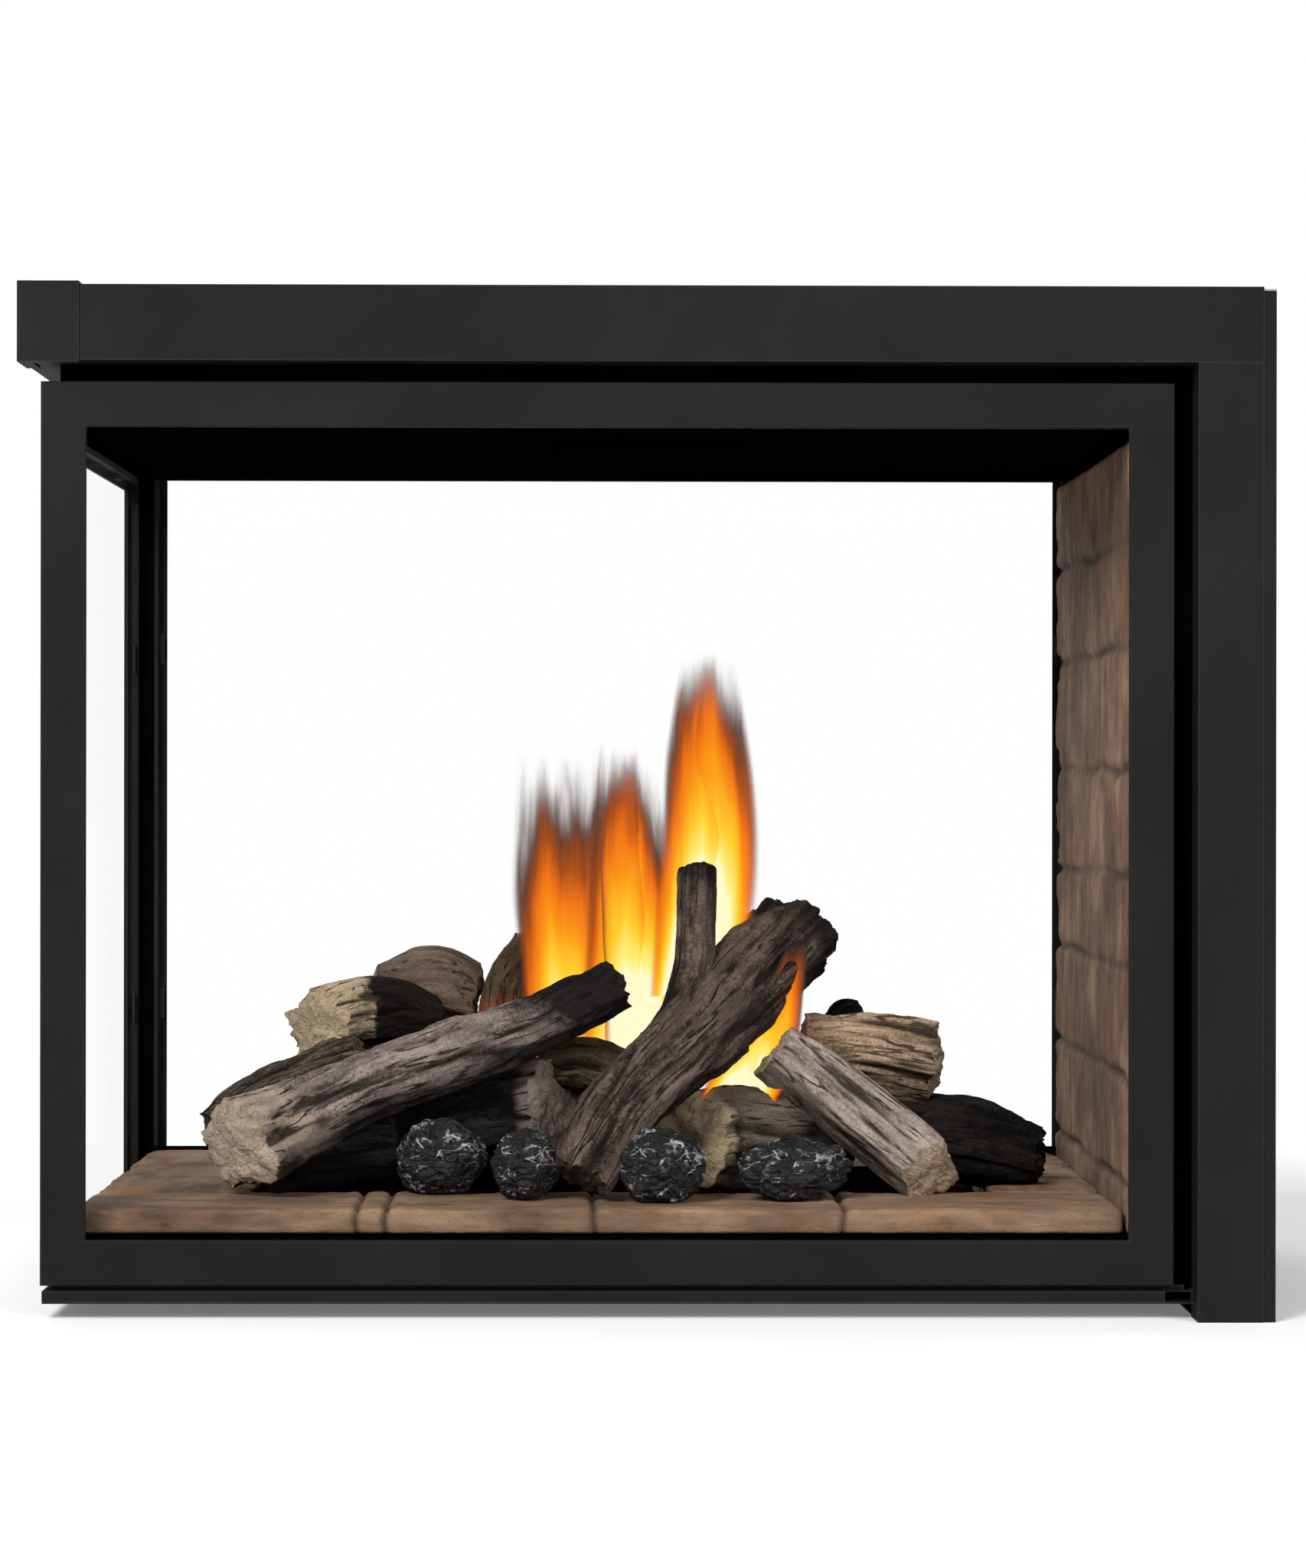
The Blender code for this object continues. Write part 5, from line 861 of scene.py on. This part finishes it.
skin = log_skin([(-0.4008, -0.047, 0.1319, 0.04), (-0.3568, -0.0314, 0.1568, 0.046),
                 (-0.269, -0.006, 0.185, 0.047)], seed=5.6, flats=0.1, bark=0.0048, ends=(0.006, 0.006))
wood = painted_wood("crumbling brown bark", DARK_BARK, cracks=(0.008, 0.006, 0.005),
                    sawn=((0.05, 0.04, 0.03), (0.1, 0.08, 0.06)), char_and_shade=(SOOT_AND_SHADE, 0.75))
laid("back_left", "log_back_left", [skin], wood)

skin = log_skin([(0.24, -0.03, 0.133, 0.04), (0.312, -0.0429, 0.1305, 0.0384),
                 (0.3691, -0.0533, 0.1167, 0.0264)],
                seed=4.9, flats=0.1, bark=0.005, ends=(0.006, 0.007))
wood = painted_wood("charred right log",
                    ((0.002, 0.002, 0.002), (0.006, 0.005, 0.0045), (0.024, 0.019, 0.016)),
                    CHARRED_CRACKS_AND_SHADE, CHARRED_END, char_and_shade=(SOOT_AND_SHADE, 0.6))
laid("char_right", "log_char_right", [skin], wood)


# Ember lumps
# Four lumps of black ceramic charcoal lie loose on the front of the burner, cracked into small
# blocks and dusted with white ash along their edges.
def lump_skin(middle, radii, seed, level):
    """A rounded block whose reach is r (facets + crumbs + cracks) on each axis: facets come from the
    nearest of twenty flat planes, crumbs and cracks from noise. It is cut level where it lies."""
    rows, columns, planes, golden_angle = 130, 180, 20, 2.39996
    down = np.linspace(0.02, math.pi - 0.02, rows)[:, None]
    turn = np.linspace(0, 2 * math.pi, columns, endpoint=False)[None, :]
    ways = np.stack([np.sin(down) * np.cos(turn), np.sin(down) * np.sin(turn), np.cos(down) + 0 * turn],
                    axis=-1)
    each = np.arange(planes)
    lift = 1 - 2 * (each + 0.5) / planes
    spin = each * golden_angle + seed
    level_reach = np.sqrt(1 - lift ** 2)
    flats = np.stack([level_reach * np.cos(spin), level_reach * np.sin(spin), lift], axis=-1)
    plane_reach = 0.88 + 0.12 * mottle(flats * 2.3, seed + 1)
    facets = (plane_reach / np.maximum(ways @ flats.T, 0.2)).min(axis=-1)
    crumbs = weathered(ways * 7, seed + 3, 4, 0.6)
    cracks = 1 - 2 * np.abs(weathered(ways * 5.5, seed + 7, 3))
    reach = np.minimum(facets, 1.08) + 0.07 * crumbs + 0.11 * cracks
    places = np.array(middle) + ways * reach[..., None] * np.array(radii)
    places[..., 2] = np.maximum(places[..., 2], level + 0.0008 * crumbs)
    edge = np.clip(crumbs * 0.5 + cracks * 0.6, -1, 1)
    return places, {"grain": ways * np.array(radii), "edge": edge}


def ash_coal():
    """Black crumbs, with white ash along the edges of small blocks and on the crust's high places."""
    coal = Finish("charcoal dusted with ash")
    grain = coal.mark("grain", output=1)
    edge = coal.mark("edge")
    chips = coal.noise(grain, 240.0, 5.0, 0.7)
    dust = coal.noise(grain, 48.0, 3.0, 0.6)
    turned = coal.node("Mapping", {"vector_type": "POINT"}, Vector=grain, Rotation=(0.5, 0.3, 0.0),
                       Scale=(0.55, 1.2, 1.5))
    blocks = coal.node("TexVoronoi", {"feature": "DISTANCE_TO_EDGE"}, Scale=74.0, Vector=turned)
    black_tone = coal.ramp(chips, [(0.38, (0.001, 0.001, 0.0012)), (0.7, (0.009, 0.0086, 0.0095))])
    rims = (blocks + (chips - 0.5) * 0.3).step(0.05, 0.01) * dust.step(0.45, 0.57)
    crust = (edge + chips * 0.8).step(0.8, 1.0) * dust.step(0.52, 0.64)
    tint = coal.mix(rims.most(crust * 0.7) * 0.85, black_tone, (0.46, 0.45, 0.46))
    return coal.surface(Base_Color=tint, Roughness=0.5 + chips * 0.35, Specular_IOR_Level=0.45,
                        Normal=coal.bump(chips * 0.6 - blocks.step(0.1, 0.0) * 0.8, 0.003, 1.0))


BURNER_TOP = 0.0966
LUMPS = [((-0.1895, -0.1328, 0.127), (0.04, 0.036, 0.033)),
         ((-0.1108, -0.1796, 0.125), (0.031, 0.031, 0.031)),
         ((0.0136, -0.202, 0.1262), (0.038, 0.036, 0.034)),
         ((0.1343, -0.1848, 0.1225), (0.048, 0.036, 0.029))]
coal = ash_coal()
for number, (middle, radii) in enumerate(LUMPS, 1):
    places, marks = lump_skin(middle, radii, 1.7 * number, BURNER_TOP)
    lump = closed_form("charcoal_lump_" + str(number), places, coal, marks)
    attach(lump, "case")
    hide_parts("ember_lump_" + str(number))


# Flames
# Burning gas rises from the burner slots behind the front logs: broad tongues on the left, a tall one
# behind the fork's limb and a low one under its trunk. They are thin, curved and see-through.
def flame_finish(name, heart):
    """Heat falls from the heart of the sheet to its rims and with height, and is drawn into upright
    strands. It sets the glow, from brown smoke through red and orange to pale yellow, and the cover."""
    fire = Finish(name)
    across = fire.mark("across")
    rise = fire.mark("rise")
    strand = fire.noise(fire.place((1.0, 1.0, 0.11)), 34.0, 3.0, 0.5)
    wisp = fire.noise(fire.place((1.0, 1.0, 0.35)), 13.0, 3.0, 0.5)
    inner = 1.0 - across ** 2.0
    lively = (strand - 0.5) * 1.1 + (wisp - 0.5) * 0.6
    middle = inner ** 3.0 * 0.45 + inner * 0.6
    heat = middle * ((1.0 - rise) * heart + 0.36 - (rise ** 3.0) * 0.46) + lively * (rise * 0.55 + 0.3)
    heat = heat + ((1.0 - rise) ** 2.0) * 0.26
    smoke, ember, red = (0.15, 0.115, 0.105), (0.11, 0.04, 0.022), (0.4, 0.075, 0.01)
    orange, amber, gold = (0.92, 0.19, 0.008), (1.0, 0.36, 0.01), (1.0, 0.64, 0.03)
    yellow, pale = (1.0, 0.88, 0.22), (1.0, 0.98, 0.62)
    glow = fire.ramp(heat, [(0.02, smoke), (0.14, ember), (0.27, red), (0.42, orange), (0.58, amber),
                            (0.76, gold), (0.92, yellow), (1.0, pale)])
    fade = (1.0 - rise + lively * 0.25).step(0.02, 0.22)
    rims = inner.step(0.0, 0.3) * (inner + lively * 0.3).step(0.04, 0.5)
    cover = rims * (heat + 0.1).step(0.0, 0.3) * fade
    return fire.surface(Base_Color=(0.0, 0.0, 0.0), Roughness=1.0, Specular_IOR_Level=0.0,
                        Emission_Color=glow, Emission_Strength=1.0, Alpha=cover * 0.96)


def flame_sheet(name, knots, facing, material, seed):
    """A sheet from its middle line (place and half width): a point at u across and v up stands at
    C(v) + u w(v) along the sheet, and b (1 - u^2) out of it, with ripples that grow as it rises."""
    rows, columns = 120, 56
    bow_share, ripple_size = 0.35, 0.01
    v = np.linspace(0, 1, rows)[:, None]
    u = np.linspace(-1, 1, columns)[None, :]
    line = smooth_line(knots, v[:, 0])
    along = np.array((math.cos(facing), math.sin(facing), 0.0))
    out = np.array((-math.sin(facing), math.cos(facing), 0.0))
    wide = line[:, 3][:, None]
    ripple = mottle(np.stack([u * 1.4 + 0 * v, v * 4 + 0 * u, 0 * u * v + seed], axis=-1), seed)
    bow = (1 - u ** 2) * wide * bow_share + ripple * ripple_size * v
    places = line[:, None, :3] + along * u[..., None] * wide[..., None] + out * bow[..., None]
    mesh = bpy.data.meshes.new(name)
    mesh.from_pydata(places.reshape(-1, 3).tolist(), [], grid_quads(rows, columns, False).tolist())
    keep_mark(mesh, "across", np.repeat(u, rows, axis=0).ravel())
    keep_mark(mesh, "rise", np.repeat(v, columns, axis=1).ravel())
    mesh.shade_smooth()
    mesh.materials.append(material)
    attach(put_in(name, mesh), "case")


def flame(name, knots, material):
    """Two sheets on one middle line, turned a little to either side of the front."""
    for half, turn in (("_one", 0.42), ("_two", -0.42)):
        flame_sheet(name + half, knots, turn, material, knots[0][0] * 50 + 7 + turn)


orange_fire = flame_finish("orange flame", heart=0.42)
yellow_fire = flame_finish("yellow flame", heart=0.8)
white_fire = flame_finish("white-hot flame", heart=1.02)
flame("flame_left", [(-0.072, 0.034, 0.205, 0.046), (-0.078, 0.034, 0.29, 0.05),
                     (-0.084, 0.034, 0.38, 0.056), (-0.085, 0.034, 0.515, 0.05)], orange_fire)
flame("flame_middle", [(-0.006, 0.02, 0.185, 0.07), (-0.01, 0.02, 0.28, 0.058),
                       (-0.016, 0.02, 0.39, 0.046), (-0.019, 0.02, 0.515, 0.032)], yellow_fire)
flame("flame_limb", [(0.046, -0.02, 0.27, 0.05), (0.058, -0.018, 0.37, 0.056),
                     (0.06, -0.016, 0.47, 0.052), (0.059, -0.014, 0.6, 0.03)], white_fire)
flame("flame_trunk", [(0.08, -0.084, 0.165, 0.04), (0.098, -0.086, 0.205, 0.044),
                      (0.124, -0.086, 0.26, 0.026), (0.141, -0.084, 0.325, 0.012)], yellow_fire)
